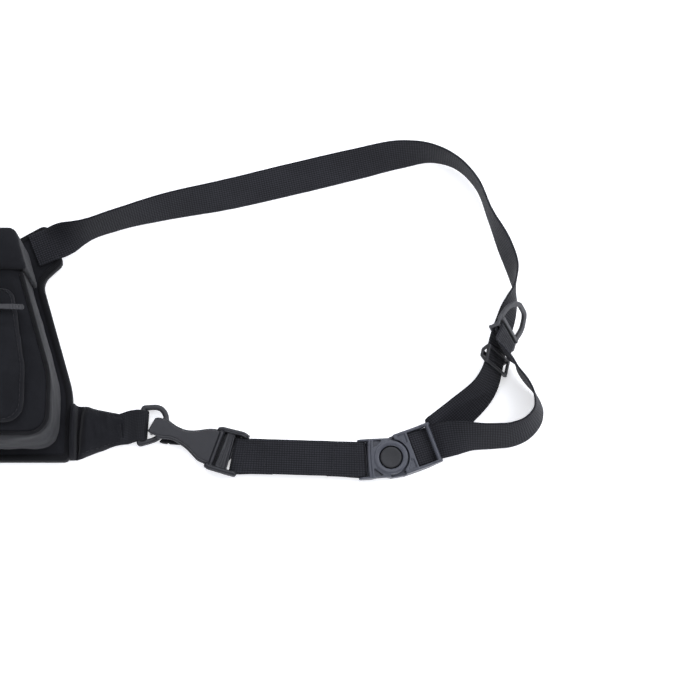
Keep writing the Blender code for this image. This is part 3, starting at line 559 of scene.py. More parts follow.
# ---- webbing ----------------------------------------------------------------------
class Route:
    """Smooth curve through stations of X, Y, Z and lean."""

    def __init__(self, stations):
        self.p = np.array(stations, float)
        d = np.linalg.norm(np.diff(self.p[:, :3], axis=0), axis=1)
        self.s = np.concatenate([[0], np.cumsum(d)])
        m = np.zeros_like(self.p)
        slope = np.diff(self.p, axis=0) / d[:, None]
        m[0], m[-1] = slope[0], slope[-1]
        for i in range(1, len(self.p) - 1):
            w = d[i - 1] / (d[i - 1] + d[i])
            m[i] = slope[i - 1] * (1 - w) + slope[i] * w
        self.m = m
        self.length = self.s[-1]

    def at(self, s):
        i = int(np.clip(np.searchsorted(self.s, s) - 1, 0, len(self.s) - 2))
        h = self.s[i + 1] - self.s[i]
        t = (s - self.s[i]) / h
        a, b, ma, mb = self.p[i], self.p[i + 1], self.m[i] * h, self.m[i + 1] * h
        q = (2*t**3 - 3*t*t + 1)*a + (t**3 - 2*t*t + t)*ma + (3*t*t - 2*t**3)*b + (t**3 - t*t)*mb
        v = (6*t*t - 6*t)*a + (3*t*t - 4*t + 1)*ma + (6*t - 6*t*t)*b + (3*t*t - 2*t)*mb
        tan = Vector(v[:3]).normalized()
        left = Vector((-tan.y, tan.x, 0)).normalized()
        lean = math.radians(q[3])
        side = left * math.cos(lean) + Vector((0, 0, 1)) * math.sin(lean)
        side = (side - tan * side.dot(tan)).normalized()
        return Vector(q[:3]), tan, side

    def rows(self, step):
        n = max(2, int(self.length / step))
        return [(p, s) for p, _, s in (self.at(self.length * i / n) for i in range(n + 1))]


def profile_rows(pts, fr, side=None):
    y = (fr.to_3x3() @ Vector((0, 1, 0))).normalized() if side is None else side
    return [(fr @ Vector((x, 0, z)), y) for x, z in pts]


class Strip:
    """A length of webbing: fine rows through coarse ones, and points on its faces."""

    def __init__(self, coarse, step=1.6):
        p = [np.array(c) for c, _ in coarse]
        s = [np.array(d) for _, d in coarse]
        keep = [0] + [i for i in range(1, len(p)) if np.linalg.norm(p[i] - p[i - 1]) > 0.05]
        p, s = [p[i] for i in keep], [s[i] for i in keep]
        k = [0.0]
        for a, b in zip(p, p[1:]):
            k.append(k[-1] + math.sqrt(np.linalg.norm(b - a)))
        fine_p, fine_s = [], []
        for i in range(len(p) - 1):
            gap = np.linalg.norm(p[i + 1] - p[i])
            n = max(1, int(math.ceil(gap / step)))
            for j in range(n + (i == len(p) - 2)):
                t = k[i] + (k[i + 1] - k[i]) * j / n
                fine_p.append(self.bend(p, k, i, t))
                f = j / n
                a, b = s[i], s[i + 1]
                fine_s.append(a * (1 - f) + b * f)
        self.p, self.side = np.array(fine_p), np.array(fine_s)
        for _ in range(2):  # the width turns evenly along the strap
            q = self.side.copy()
            q[1:-1] = 0.25 * self.side[:-2] + 0.5 * self.side[1:-1] + 0.25 * self.side[2:]
            self.side = q
        d = np.linalg.norm(np.diff(self.p, axis=0), axis=1)
        self.s = np.concatenate([[0], np.cumsum(d)])
        self.length = float(self.s[-1])
        tan = np.gradient(self.p, axis=0)
        tan /= np.linalg.norm(tan, axis=1)[:, None]
        n = np.cross(tan, self.side)
        self.normal = n / np.linalg.norm(n, axis=1)[:, None]
        self.tan = tan

    @staticmethod
    def bend(p, k, i, t):
        """Centripetal Catmull-Rom through the rows."""
        idx = [max(0, i - 1), i, i + 1, min(len(p) - 1, i + 2)]
        q = [p[j] for j in idx]
        t1, t2 = k[i], k[i + 1]
        t0 = k[idx[0]] if idx[0] < i else t1 - (t2 - t1)
        t3 = k[idx[3]] if idx[3] > i + 1 else t2 + (t2 - t1)
        if idx[0] == i:
            q[0] = 2 * q[1] - q[2]
        if idx[3] == i + 1:
            q[3] = 2 * q[2] - q[1]
        a1 = (t1 - t) / (t1 - t0) * q[0] + (t - t0) / (t1 - t0) * q[1]
        a2 = (t2 - t) / (t2 - t1) * q[1] + (t - t1) / (t2 - t1) * q[2]
        a3 = (t3 - t) / (t3 - t2) * q[2] + (t - t2) / (t3 - t2) * q[3]
        b1 = (t2 - t) / (t2 - t0) * a1 + (t - t0) / (t2 - t0) * a2
        b2 = (t3 - t) / (t3 - t1) * a2 + (t - t1) / (t3 - t1) * a3
        return (t2 - t) / (t2 - t1) * b1 + (t - t1) / (t2 - t1) * b2

    def spot(self, s, v, face=1, thick=WEB_T, lift=0.0):
        """Point on a face: s along, v across from the centre, both in mm."""
        at = [np.interp(s, self.s, self.p[:, i]) for i in range(3)]
        side = np.array([np.interp(s, self.s, self.side[:, i]) for i in range(3)])
        nor = np.array([np.interp(s, self.s, self.normal[:, i]) for i in range(3)])
        nor /= np.linalg.norm(nor)
        return Vector(np.array(at) + side * v + nor * face * (thick / 2 + lift)), Vector(nor * face)

    def mesh(self, width=WEB_W, thick=WEB_T, across=14, cup=0.0, seed=1.0, end_in=0.0):
        """Closed strip with round selvedges; UV is its length and girth in metres."""
        w, h = width / 2, thick / 2
        section = []
        for i in range(across + 1):
            a = -1 + 2 * i / across
            section.append(((w - h * 0.9) * a, h))
        for i in range(1, 4):
            ang = math.pi / 2 - math.pi * i / 4
            section.append((w - h * 0.9 + h * 0.9 * math.cos(ang), h * math.sin(ang)))
        for i in range(across + 1):
            a = 1 - 2 * i / across
            section.append(((w - h * 0.9) * a, -h))
        for i in range(1, 4):
            ang = -math.pi / 2 - math.pi * i / 4
            section.append((-(w - h * 0.9) + h * 0.9 * math.cos(ang), h * math.sin(ang)))
        m = len(section)
        girth = [0.0]
        for i in range(m):
            a, b = section[i], section[(i + 1) % m]
            girth.append(girth[-1] + math.hypot(b[0] - a[0], b[1] - a[1]))
        bm = bmesh.new()
        uv = bm.loops.layers.uv.new("UVMap")
        rings = []
        for i in range(len(self.p)):
            edge = 0.10 * noise.noise(Vector((self.s[i] * 0.11, seed, 0.3)))
            edge2 = 0.10 * noise.noise(Vector((self.s[i] * 0.11, seed, 7.7)))
            ring = []
            for a, z in section:
                f = a / w
                a2 = a + (edge if a > 0 else edge2) * abs(f) ** 3
                bow = cup * (1 - f * f)
                co = self.p[i] + self.side[i] * a2 + self.normal[i] * (z + bow)
                ring.append(bm.verts.new(co))
            rings.append(ring)
        for i in range(len(rings) - 1):
            for j in range(m):
                f = bm.faces.new((rings[i][j], rings[i][(j + 1) % m], rings[i + 1][(j + 1) % m], rings[i + 1][j]))
                us = (self.s[i], self.s[i], self.s[i + 1], self.s[i + 1])
                vs = (girth[j], girth[j + 1], girth[j + 1], girth[j])
                for lp, uu, vv in zip(f.loops, us, vs):
                    lp[uv].uv = (uu * MM, vv * MM)
        for ring, s in ((rings[0], self.s[0]), (rings[-1], self.s[-1])):
            f = bm.faces.new(ring)
            for lp, (a, z) in zip(f.loops, section):
                lp[uv].uv = ((s + z) * MM, (a + w) * MM)
        me = mesh_of(bm)
        me.shade_smooth()
        me.set_sharp_from_angle(angle=math.radians(60))
        return me


def stitch_run(points, normals, length=2.7, gap=0.8, r=0.26):
    """Thread: a row of short stitches that dip into the cloth at both ends."""
    bm = bmesh.new()
    pts = [np.array(p) for p in points]
    d = [0.0]
    for a, b in zip(pts, pts[1:]):
        d.append(d[-1] + float(np.linalg.norm(b - a)))
    pa, na = np.array(pts), np.array([np.array(n) for n in normals])
    s = gap / 2
    while s + length <= d[-1]:
        rings = []
        for i in range(6):
            f = i / 5
            at = s + length * f
            c = np.array([np.interp(at, d, pa[:, j]) for j in range(3)])
            n = np.array([np.interp(at, d, na[:, j]) for j in range(3)])
            n /= np.linalg.norm(n)
            a0, a1 = max(0.0, at - 0.3), min(d[-1], at + 0.3)
            t = np.array([np.interp(a1, d, pa[:, j]) - np.interp(a0, d, pa[:, j]) for j in range(3)])
            t /= np.linalg.norm(t) + 1e-9
            b = np.cross(n, t)
            b /= np.linalg.norm(b) + 1e-9
            rise = -0.22 + 0.40 * math.sin(math.pi * f) ** 0.6
            rad = r * (0.55 + 0.45 * math.sin(math.pi * f) ** 0.5)
            rings.append([bm.verts.new(c + n * (rise + rad * math.sin(q)) + b * rad * math.cos(q))
                          for q in (2 * math.pi * k / 6 for k in range(6))])
        for x, y in zip(rings, rings[1:]):
            for j in range(6):
                bm.faces.new((x[j], x[(j + 1) % 6], y[(j + 1) % 6], y[j]))
        bm.faces.new(rings[0])
        bm.faces.new(rings[-1])
        s += length + gap
    bmesh.ops.recalc_face_normals(bm, faces=bm.faces)
    me = bpy.data.meshes.new("m")
    bm.to_mesh(me)
    bm.free()
    me.shade_smooth()
    return me


def sewn(strip, track, face=1, thick=WEB_T, **kw):
    """Stitches along a track of (along, across) on one face of a strip."""
    pts, nor = [], []
    for (s0, v0), (s1, v1) in zip(track, track[1:]):
        n = max(2, int(math.hypot(s1 - s0, v1 - v0) / 1.0))
        for i in range(n):
            f = i / n
            p, q = strip.spot(s0 + (s1 - s0) * f, v0 + (v1 - v0) * f, face, thick)
            pts.append(p)
            nor.append(q)
    p, q = strip.spot(*track[-1], face, thick)
    return stitch_run(pts + [p], nor + [q], **kw)


def frame_of_strap(route, k):
    p, tan, side = route.at(route.s[k])
    y, x = -tan, -side
    m = Matrix((x, y, x.cross(y))).transposed().to_4x4()
    m.translation = p
    return m


route = Route(STRAP_ROUTE)
slider_frame, glide_frame = frame_of_strap(route, SLIDER_AT), frame_of_strap(route, GLIDE_AT)
ring_frame, flat_ring = placed(RING_POS, RING_ANGLE, -3.8), placed(RING_POS, RING_ANGLE)
hook_frame = placed(HOOK_POS, HOOK_ANGLE)
gate_frame = hook_frame @ Matrix.Translation(Vector(GATE_PIN))
male_frame, fem_frame = placed(DISC_POS, MALE_ANGLE), placed(DISC_POS, FEMALE_ANGLE)
web_fold = BAR_R + GAP + WEB_T / 2

# shoulder strap
bx, bz = FEM_BAR
back_end = [(31.0, bz - web_fold), (24, bz - web_fold)] + arc(bx, bz, web_fold, 270, 183, 8)
shoulder = Strip(route.rows(6.5)[:-1] + [(route.at(route.length)[0], route.at(route.length)[2])]
                 + profile_rows(back_end, fem_frame))
piece("shoulder_strap_web_right", shoulder.mesh(cup=0.12), WEB, "pack", "webbing", ["shoulder_strap_right"],
      sheet=(WEB_W, round(shoulder.length), "laid", ["back_panel"]), twin=True)

# front leg
LOOP_Z0, LOOP_Z1, LOOP_TILT = 1.9, 4.6, 10.0
BAR_B = (-5.4, WEB_T / 2 + 0.6 + WEB_T + GAP + 1.0)
leg_fold = 1.0 + GAP + WEB_T / 2
leg_z = BAR_B[1] + leg_fold
CANT = 0.27
side_s = (route.at(route.s[SLIDER_AT])[2] - CANT * route.at(route.s[SLIDER_AT])[1]).normalized()


def slider_point(y, z):
    return slider_frame @ Vector((0.9 * CANT * (y - BAR_B[0]), y, z))


start = profile_rows(arc(bx, bz, web_fold, 177, 80, 8) + [(21.5, 6.5), (25, 5.3), (29, 4.6), (32, 4.7), (35, 5.4)],
                     fem_frame)
leg_pts = ([tuple(start[-1][0]) + (0,)] + LEG_ROUTE
           + [tuple(slider_point(-16, leg_z + 0.4)) + (math.degrees(math.asin(side_s.z)),)])
leg = Route(leg_pts)
fold_rows = [(slider_point(y, z), side_s) for y, z in
             [(-13, leg_z + 0.2), (-10.5, leg_z), (-8.0, leg_z)] + arc(BAR_B[0], BAR_B[1], leg_fold, 90, -90, 8)
             + [(-7.6, BAR_B[1] - leg_fold + 0.4), (-10.0, BAR_B[1] - 1.0)]]
leg_rows = leg.rows(6.0)
for i, (p, s) in enumerate(leg_rows):
    k = max(0.0, 1 - (len(leg_rows) - 1 - i) * 6.0 / 22)
    k = k * k * (3 - 2 * k)
    leg_rows[i] = (p, (s * (1 - k) + side_s * k).normalized())
leg_strip = Strip(start[:-1] + leg_rows + fold_rows)
piece("front_leg_web_right", leg_strip.mesh(cup=0.10, seed=4.0), WEB, "pack", "webbing", ["front_leg_right"],
      blend=("loop_slider_right", (421.0, -36.0, 13.0), tuple(slider_point(-11, leg_z))),
      sheet=(WEB_W, round(leg_strip.length), "folded", ["buckle_female_right"]), twin=True)


# side strap
HOOK_WRAP = 4.4
male_bar = male_frame @ Vector((MALE_BAR[0], 0, MALE_BAR[1]))
hook_bar = hook_frame @ Vector((HOOK_WRAP, 0, 0))


def side_strap_rows():
    run = male_bar - hook_bar
    length = Vector((run.x, run.y)).length
    z0 = hook_bar.z
    low = web_fold - WEB_T - GAP
    pts = [(26, low), (18, low - 0.1), (11, 0.2), (5, -1.9)] + arc(0, 0, web_fold, 270, 90, 10)
    pts += [(6 + (length - 12) * i / 10, web_fold) for i in range(11)]
    pts += arc(length, 0, web_fold, 90, -90, 10)
    pts += [(length - 5, -1.9), (length - 11, 0.2), (length - 17, low - 0.1), (length - 24, low)]
    ang_run = math.atan2(run.y, run.x)
    ang_hook = math.radians(-10.5)
    ang_male = math.radians(MALE_ANGLE) - math.pi
    rows = []
    for x, z in pts:
        k0, k1 = max(0.0, 1 - max(x, 0) / 22), max(0.0, 1 - max(length - x, 0) / 18)
        ang = ang_run + (ang_hook - ang_run) * k0 ** 1.5 + (ang_male - ang_run) * k1 ** 1.5
        c = hook_bar + Vector((math.cos(ang_run) * x, math.sin(ang_run) * x, 0))
        if x < 0:
            c = hook_bar + Vector((math.cos(ang_hook) * x, math.sin(ang_hook) * x, 0))
        if x > length:
            c = male_bar + Vector((math.cos(ang_male), math.sin(ang_male), 0)) * (x - length)
        c.z = z0 + z
        rows.append((c, Vector((-math.sin(ang), math.cos(ang), 0)) / math.cos(ang - ang_run)))
    return rows


side_strip = Strip(side_strap_rows())
side_blend = ("buckle_male_right", tuple(hook_bar + Vector((20, 0, 0))), tuple(male_bar - Vector((6, 0, 0))))
piece("side_strap_web_right", side_strip.mesh(cup=0.0, seed=9.0), WEB, "pack", "webbing", ["side_strap_right"],
      blend=side_blend, sheet=(WEB_W, round(side_strip.length), "folded", ["hook_body_right"]), twin=True)

# ring tab
fold = RING_ROD / 2 + GAP + WEB_T / 2 + 0.05
half_gap = WEB_T / 2 + GAP / 2
tab_path = ([(TAB_IN, -half_gap), (-16, -half_gap), (-9, -half_gap), (-5.2, -1.7), (-2.2, -fold + 0.15)]
            + arc(1.4, 0, fold, -90, 90, 10)
            + [(-2.2, fold - 0.15), (-5.2, 1.7), (-9, half_gap), (-16, half_gap), (TAB_IN, half_gap)])
tab_rows = []
for x, z in tab_path:
    k = min(1.0, max(0.0, (-x - 4) / 10))
    turn = math.radians(3.0 + 10.0 * k)
    pinch = 1.0 - 0.09 * smooth_step((x + 7.5) / 5.0) - 0.10 * smooth_step((-x - 10.0) / 3.4)
    tab_rows.append((flat_ring @ Vector((x, -TAB_DROP * max(0.0, -x - 3), z)),
                     pinch * (flat_ring.to_3x3() @ Vector((-math.sin(turn), math.cos(turn), 0)))))
tab_strip = Strip(tab_rows, 1.2)
piece("ring_tab_web_right", tab_strip.mesh(width=TAB_W, seed=14.0), TAB, "pack", "webbing", ["ring_tab_right"],
      sheet=(TAB_W, round(tab_strip.length), "folded", ["side_wing_right"]), twin=True)

# ---- hardware -------------------------------------------------------------------------
def pchip(xs, ys, x):
    """Smooth curve through points without overshoot."""
    h, d = np.diff(xs), np.diff(ys) / np.diff(xs)
    m = np.zeros(len(xs))
    m[0], m[-1] = d[0], d[-1]
    for i in range(1, len(xs) - 1):
        if d[i - 1] * d[i] > 0:
            w1, w2 = 2 * h[i] + h[i - 1], h[i] + 2 * h[i - 1]
            m[i] = (w1 + w2) / (w1 / d[i - 1] + w2 / d[i])
    i = int(np.clip(np.searchsorted(xs, x) - 1, 0, len(xs) - 2))
    t = (x - xs[i]) / h[i]
    return float((2*t**3 - 3*t*t + 1) * ys[i] + (t**3 - 2*t*t + t) * h[i] * m[i]
                 + (3*t*t - 2*t**3) * ys[i + 1] + (t**3 - t*t) * h[i] * m[i + 1])


def lathe(profile, n=96):
    """Closed ring or disc: profile of (radius, height) turned about Z."""
    bm = bmesh.new()
    rings = []
    for r, z in profile:
        if r < 1e-6:
            rings.append([bm.verts.new((0, 0, z))])
        else:
            rings.append([bm.verts.new((r * math.cos(2 * math.pi * i / n), r * math.sin(2 * math.pi * i / n), z))
                          for i in range(n)])
    pairs = list(zip(rings, rings[1:]))
    if profile[0][0] > 1e-6 and profile[-1][0] > 1e-6:
        pairs.append((rings[-1], rings[0]))
    for a, b in pairs:
        for i in range(n):
            j = (i + 1) % n
            if len(a) == 1:
                bm.faces.new((a[0], b[i], b[j]))
            elif len(b) == 1:
                bm.faces.new((a[i], a[j], b[0]))
            else:
                bm.faces.new((a[i], a[j], b[j], b[i]))
    return mesh_of(bm)


def ball(p, r):
    bm = bmesh.new()
    bmesh.ops.create_uvsphere(bm, u_segments=20, v_segments=12, radius=r)
    bm.transform(Matrix.Translation(Vector(p)))
    return mesh_of(bm)


def capsule_path(points, r):
    """Round bar with round ends."""
    return together(tube(points, r, False, 6), ball(points[0], r), ball(points[-1], r))


def swept(points, section, cyclic=True):
    """Section (out, up) carried round a flat path in XY."""
    bm = bmesh.new()
    n = len(points)
    rings = []
    for i in range(n):
        a, b = Vector(points[i - 1]), Vector(points[(i + 1) % n])
        t = (b - a).normalized()
        out = Vector((t.y, -t.x))
        rings.append([bm.verts.new((points[i][0] + out.x * o, points[i][1] + out.y * o, u)) for o, u in section])
    m = len(section)
    for i in range(n):
        a, b = rings[i], rings[(i + 1) % n]
        for j in range(m):
            bm.faces.new((a[j], a[(j + 1) % m], b[(j + 1) % m], b[j]))
    me = mesh_of(bm)
    me.shade_smooth()
    return me


SIDE = Matrix.Rotation(math.radians(90), 4, "X")          # profile in XZ, thickness along -Y
TO_X = Matrix(((0, 0, 1, 0), (1, 0, 0, 0), (0, 1, 0, 0), (0, 0, 0, 1)))

# D-ring: slightly squared rod with a faint parting line round its middle
# the loop leans to one side, so its lower arm closes in and its upper arm opens out
d_path = rounded([(0, -13.4), (3.0, -12.2), (6.2, -11.0), (10.1, -9.3), (13.0, -7.3), (15.6, -4.2), (17.2, 0.2), (17.3, 5.1),
                  (16.6, 8.0), (15.1, 11.0), (12.5, 13.4), (9.2, 14.2), (6.2, 13.9), (2.5, 13.3), (0, 12.9)],
                 [2.0, 8, 8, 8, 6, 6, 8, 8, 6, 5, 5, 6, 8, 8, 2.0], 4)
d_fine = []
for i in range(len(d_path)):
    a, b = Vector(d_path[i]), Vector(d_path[(i + 1) % len(d_path)])
    k = max(1, int((b - a).length / 1.2))
    d_fine += [tuple(a.lerp(b, j / k)) for j in range(k)]
sec = []
for i in range(28):
    a = 2 * math.pi * i / 28
    c, s = math.cos(a), math.sin(a)
    r = RING_ROD / 2 * (abs(c) ** 2.9 + abs(s) ** 2.9) ** (-1 / 2.9)
    line = 0.10 if i in (0, 14) else 0.0
    sec.append(((r * 1.14 + line) * c, r * s))
piece("d_ring_mould_right", swept(d_fine, sec), RING_P, "d_ring_right", "ring_plastic", ["d_ring_right"],
      twin=True, matrix=ring_frame)

# snap hook: flat-faced plate with a rolled rim, nose turned under into a jaw, ladder tail
HX = [13.0, 20.0, 23.0, 28.0, 31.0, 34.5, 38.5, 42.0, 46.0, 49.5, 53.0, 56.5, 60.0, 63.0, 65.4, 67.2, 68.0]
H_UP = [11.8, 11.8, 11.7, 10.5, 9.0, 7.2, 5.4, 4.4, 3.9, 4.0, 4.7, 5.8, 6.8, 7.2, 6.9, 6.2, 5.6]
H_LOW = [11.7, 11.7, 11.6, 11.2, 9.9, 8.0, 6.1, 4.9, 3.9, 3.4, 3.7, 4.7, 5.5, 5.8, 5.7, 5.1, 4.4]
hook_xs = [13.0 + 55.0 * i / 90 for i in range(91)]


def hook_plan(inset=0.0, x0=13.0, x1=HOOK_L):
    """Outline of the plate between x0 and x1, drawn in by inset."""
    xs = [x for x in hook_xs if x0 <= x <= x1]
    low = [(x, pchip(HX, H_LOW, x) - inset) for x in xs]
    up = [(x, -pchip(HX, H_UP, x) + inset) for x in reversed(xs)]
    pts = low + up
    # the nose face is cut on the slant
    return [(x + max(0.0, x - 61.0) / 7.0 * (0.16 * y - 0.1), y) for x, y in pts]


face = plate([hook_plan(0.0, 17.5)], 3.4, 6.4, bevel=0.8, res=3)
skirt = combine(plate([hook_plan(0.5, 20.0, 34.0)], -1.6, 4.4),
                (CUT, plate([hook_plan(2.3, 22.0, 40.0)], -2.0, 3.6)))
nose = plate([hook_plan(0.3, 65.0)], -4.4, 5.0)
# jaw under the eye, with a lower seat where the ring's rod lies when the hook is lifted
jaw = together(plate([rounded([(53.4, -4.0), (57.4, -5.3), (57.4, 3.0), (58.8, 6.0), (59.8, 8.3), (57, 8.3), (53.4, 7.6)],
                              [.8, .4, .3, 1, .5, 2, .8], 4)], -4.5, -2.0, bevel=0.4),
               plate([rounded([(56.5, -5.2), (60.5, -6.2), (64.5, -6.0), (66.8, -4.4), (66.8, 3.2), (56.5, 3.2)],
                              [.4, 4, 3, 1.5, .5, .4], 5)], -4.5, -3.5))
pin_x, pin_z = GATE_PIN[0], GATE_PIN[2]
rim = [capsule_path([(x, s * (pchip(HX, side, x) + 0.45), 2.7 + 1.5 * smooth_step((x - 44.0) / 7.0))
                     for x in np.linspace(23.0, 61.0, 24)], 1.1)
       for s, side in ((1, H_LOW), (-1, H_UP))]
boss = combine(box((31.0, -2.5, -3.2), (42.0, 2.5, 4.0)), (CUT, rod((pin_x, -9, pin_z), (pin_x, 9, pin_z), 1.3, 24)))
lip = capsule_path([(19.0, -11.4, 6.0), (19.0, 11.4, 6.0)], 1.45)
yoke = plate([rounded([(17.3, -14.6), (22.4, -14.6), (24.0, -11.0), (24.0, 11.0), (22.4, 14.6), (17.3, 14.6)], [.5, 3, 2, 2, 3, .5], 5)],
             1.8, 4.2)
# dark fill: a plate under the tail's slots and a ledge by one rail, put there so the slots read as shade instead of
# showing the floor
web = together(plate([[(9.0, -14.0), (20.0, -14.0), (20.0, 13.4), (7.3, 13.0), (8.1, 5.0), (6.8, 1.5)]], -0.4, 0.8),
               box((1.0, -15.8, -4.4), (10.0, -10.8, -3.8)), box((1.0, -16.0, -4.4), (8.0, -14.8, 1.0)))
# the tail's side rails run along the strap, so they lean off the plate's own axis
rails = [capsule_path([(21.2, 13.8, 4.2), (19.0, 14.3, 4.6), (12, 14.0, 5.1), (5, 13.6, 5.4), (2.8, 13.4, 5.4), (1.1, 13.2, 5.3)], 2.05),
         capsule_path([(21.2, -13.6, 4.0), (19.0, -14.4, 4.4), (12, -15.0, 4.5), (6, -15.6, 4.5), (4.2, -15.7, 4.2), (2.3, -15.3, 3.4)], 1.75)]
knees = [turned(turned(plate([rounded([(0.4, -1.9), (0.1, 2.4), (2, 4.2), (21, 4.2), (21, 1.0), (6, -1.9)],
                                      [1.2, 1.2, 1.5, .4, .4, 2], 4)], s * 14.9 - 1.0, s * 14.9 + 1.0), SIDE),
                Matrix(((1, 0, 0, 0), (k, 1, 0, -21 * k), (0, 0, 1, 0), (0, 0, 0, 1)))) for s, k in ((-1, 0.07), (1, 0.045))]
ladder = plate([[(10.0, -14.9), (15.2, -14.8), (15.9, 14.2), (7.3, 13.6)]], -0.2, 3.6)
ridges = [rod((x0, -14.6, z), (x1, 13.4, z), r, 14) for x0, x1, z, r in
          ((10.5, 7.9, 3.5, 0.62), (14.8, 15.4, 3.6, 0.66), (11.7, 10.7, 3.5, 0.4), (12.7, 12.4, 3.5, 0.4), (13.7, 14.0, 3.5, 0.4))]
hook = moulded(together(face, skirt, *rim, nose, jaw, boss, yoke, web, lip, ladder, *ridges, *rails, *knees,
                        rod((HOOK_WRAP, -15.6, 0), (HOOK_WRAP, 14.2, 0), HOOK_BAR_R, 24)), 0.32, 2, 26000)
piece("hook_body_mould_right", hook, HOOK_P, "hook_right", "hook_plastic", ["hook_body_right"],
      weighted=True, twin=True, matrix=hook_frame)

g_end = HOOK_L - NOSE_L - 0.5 - GATE_PIN[0]
lever = plate([rounded([(4.4, -3.9), (8, -3.4), (g_end, -3.9), (g_end, 7.4), (8, 5.6), (4.4, 4.4)],
                       [.8, 3, .9, .9, 3, .8], 5)], -3.5, -1.3, bevel=0.4)
tongue = box((g_end - 2.0, -3.6, -1.35), (g_end + 1.6, 7.1, -0.8))
cheeks = [combine(plate([rounded([(-2.0, -1.9), (1.6, -1.9), (3.2, -1.2), (6.2, -0.3), (6.2, 3.4), (-2.0, 3.4)],
                                [1.8, .6, .6, .3, .5, 1.8], 5)],
                        y0, y0 + 1.7), (CUT, rod((0, 0, y0 - 1), (0, 0, y0 + 3), 1.3, 24))) for y0 in (2.9, -4.6)]
cheeks = [turned(c, Matrix(((1, 0, 0, 0), (0, 0, 1, 0), (0, -1, 0, 0), (0, 0, 0, 1)))) for c in cheeks]
grip = [rod((x, -4.6, -3.5), (x, 4.6, -3.5), 0.35, 10) for x in (8.2, 9.6, 11.0)]
piece("hook_gate_mould_right", moulded(together(lever, tongue, *cheeks, *grip), 0.28, 2, 6000), HOOK_P, "gate_right",
      "hook_plastic", ["hook_gate_right"], weighted=True, twin=True, matrix=gate_frame)
# leaf spring between the plate and the gate's heel
leaf = plate([rounded([(4.5, 3.6), (6.6, 3.6), (9.0, -0.2), (9.0, -0.8), (8.5, -0.8), (6.3, 3.1), (4.5, 3.1)], 0.1, 2)], -1.6, 1.6)
leaf_ends = [tuple(gate_frame @ Vector(v)) for v in ((6.2, 0, 3.3), (8.8, 0, -0.6))]
piece("gate_spring_leaf_right", finer(turned(leaf, SIDE), 3), STEEL, "hook_right", "spring_steel", ["gate_spring_right"], twin=True, matrix=gate_frame,
      blend=("gate_right", *leaf_ends))

# round buckle, male half: plate, raised ring, arms and webbing bar
W = BUCKLE_HALF_W
RING_R = 12.1
m_ring = lathe([(8.2, 6.4), (RING_R, 6.4), (RING_R, 10.1), (RING_R - 0.55, 10.75), (RING_R - 1.6, 10.9), (8.8, 10.7), (8.2, 10.2)])
m_cup = combine(rod((0, 0, 2.9), (0, 0, 7.0), 9.8, 64), (CUT, rod((0, 0, 2), (0, 0, 4.8), 5.6, 40)),
                (CUT, rod((0, 0, 6.2), (0, 0, 9), BUTTON_R + 0.4, 64)))
m_out = (rounded([(0.5, -13.9), (15.3, -14.1), (15.9, -4), (15.9, 4), (15.3, 14.1), (0.5, 13.9)], [.1, 1.2, 3, 3, 1.2, .1], 5)
         + [(11.0 * math.cos(math.radians(a)), 11.0 * math.sin(math.radians(a))) for a in range(86, -87, -4)])
m_holes = [rounded([(5.6, s * 12.6), (12.0, s * 12.8), (12.1, s * 7.0)], .5, 4) for s in (1, -1)]
m_in = (rounded([(0.5, -13.1), (13.4, -13.3), (14.0, -4), (14.0, 4), (13.4, 13.3), (0.5, 13.1)], [.1, 1.2, 3, 3, 1.2, .1], 5)
        + [(11.0 * math.cos(math.radians(a)), 11.0 * math.sin(math.radians(a))) for a in range(86, -87, -4)])
m_plate = together(plate([m_out], 6.3, 8.4), plate([m_out] + m_holes, 8.2, 9.7), plate([m_in] + m_holes, 9.4, 10.4))
# flats at the plate's corners, where the webbing is threaded past
arm = rounded([(11, 6.4), (11, 9.3), (20, 9.0), (23.1, 7.2), (23.3, 3.8), (22, 2.6), (14.4, 2.5)], [.3, .3, 3, 2, 1.4, 1.4, 2], 5)
m_arms = [turned(plate([arm], s * 13.45 - 0.7, s * 13.45 + 0.7, bevel=0.3), SIDE) for s in (1, -1)]
# web that ties the arms together below the webbing bar, a sheet put there so the gap reads as shade instead of showing
# the floor
m_web = together(box((14.2, -13.2, 0.5), (16.4, 13.2, 4.0)), box((14.2, -13.2, 0.5), (22.4, 13.2, 1.3)))
flats = [turned(plate([rounded([(13.6, 8.4), (13.6, 9.8), (14.6, 9.8), (16.4, 8.4)], .2, 2)], s * 10.4 - 1.3, s * 10.4 + 1.3), SIDE)
         for s in (1, -1)]
male = moulded(together(m_ring, m_cup, m_plate, m_web, *m_arms, *flats,
                        rod((MALE_BAR[0], -13.6, MALE_BAR[1]), (MALE_BAR[0], 13.6, MALE_BAR[1]), BAR_R, 24)),
               0.30, 2, 26000)
piece("buckle_male_mould_right", male, SLATE_P, "buckle_male_right", "buckle_plastic", ["buckle_male_right"],
      weighted=True, twin=True, matrix=male_frame)

dome = [(0, 10.62), (2.3, 10.70), (4.6, 10.94), (6.0, 11.15), (6.6, 11.18), (7.05, 11.0), (7.4, 10.6), (7.5, 10.1), (7.5, 8.6), (6.3, 8.6), (6.3, 9.8), (0, 9.8)]
button = lathe(dome, 96)
button.shade_smooth()
button.set_sharp_from_angle(angle=math.radians(40))
piece("release_button_mould_right", button, BUTTON_P, "button_right", "button_plastic", ["release_button_right"],
      twin=True, matrix=male_frame)
coil = [(5.2 * math.cos(2 * math.pi * i / 72 * 1.9), 5.2 * math.sin(2 * math.pi * i / 72 * 1.9), 6.75 + 2.5 * i / 72) for i in range(73)]
piece("button_spring_wire_right", tube(coil, 0.4, False, 2), STEEL, "buckle_male_right", "spring_steel", ["button_spring_right"],
      twin=True, matrix=male_frame, squash=("button_press_right", tuple(male_frame @ Vector((0, 0, 6.3))), 0.6))

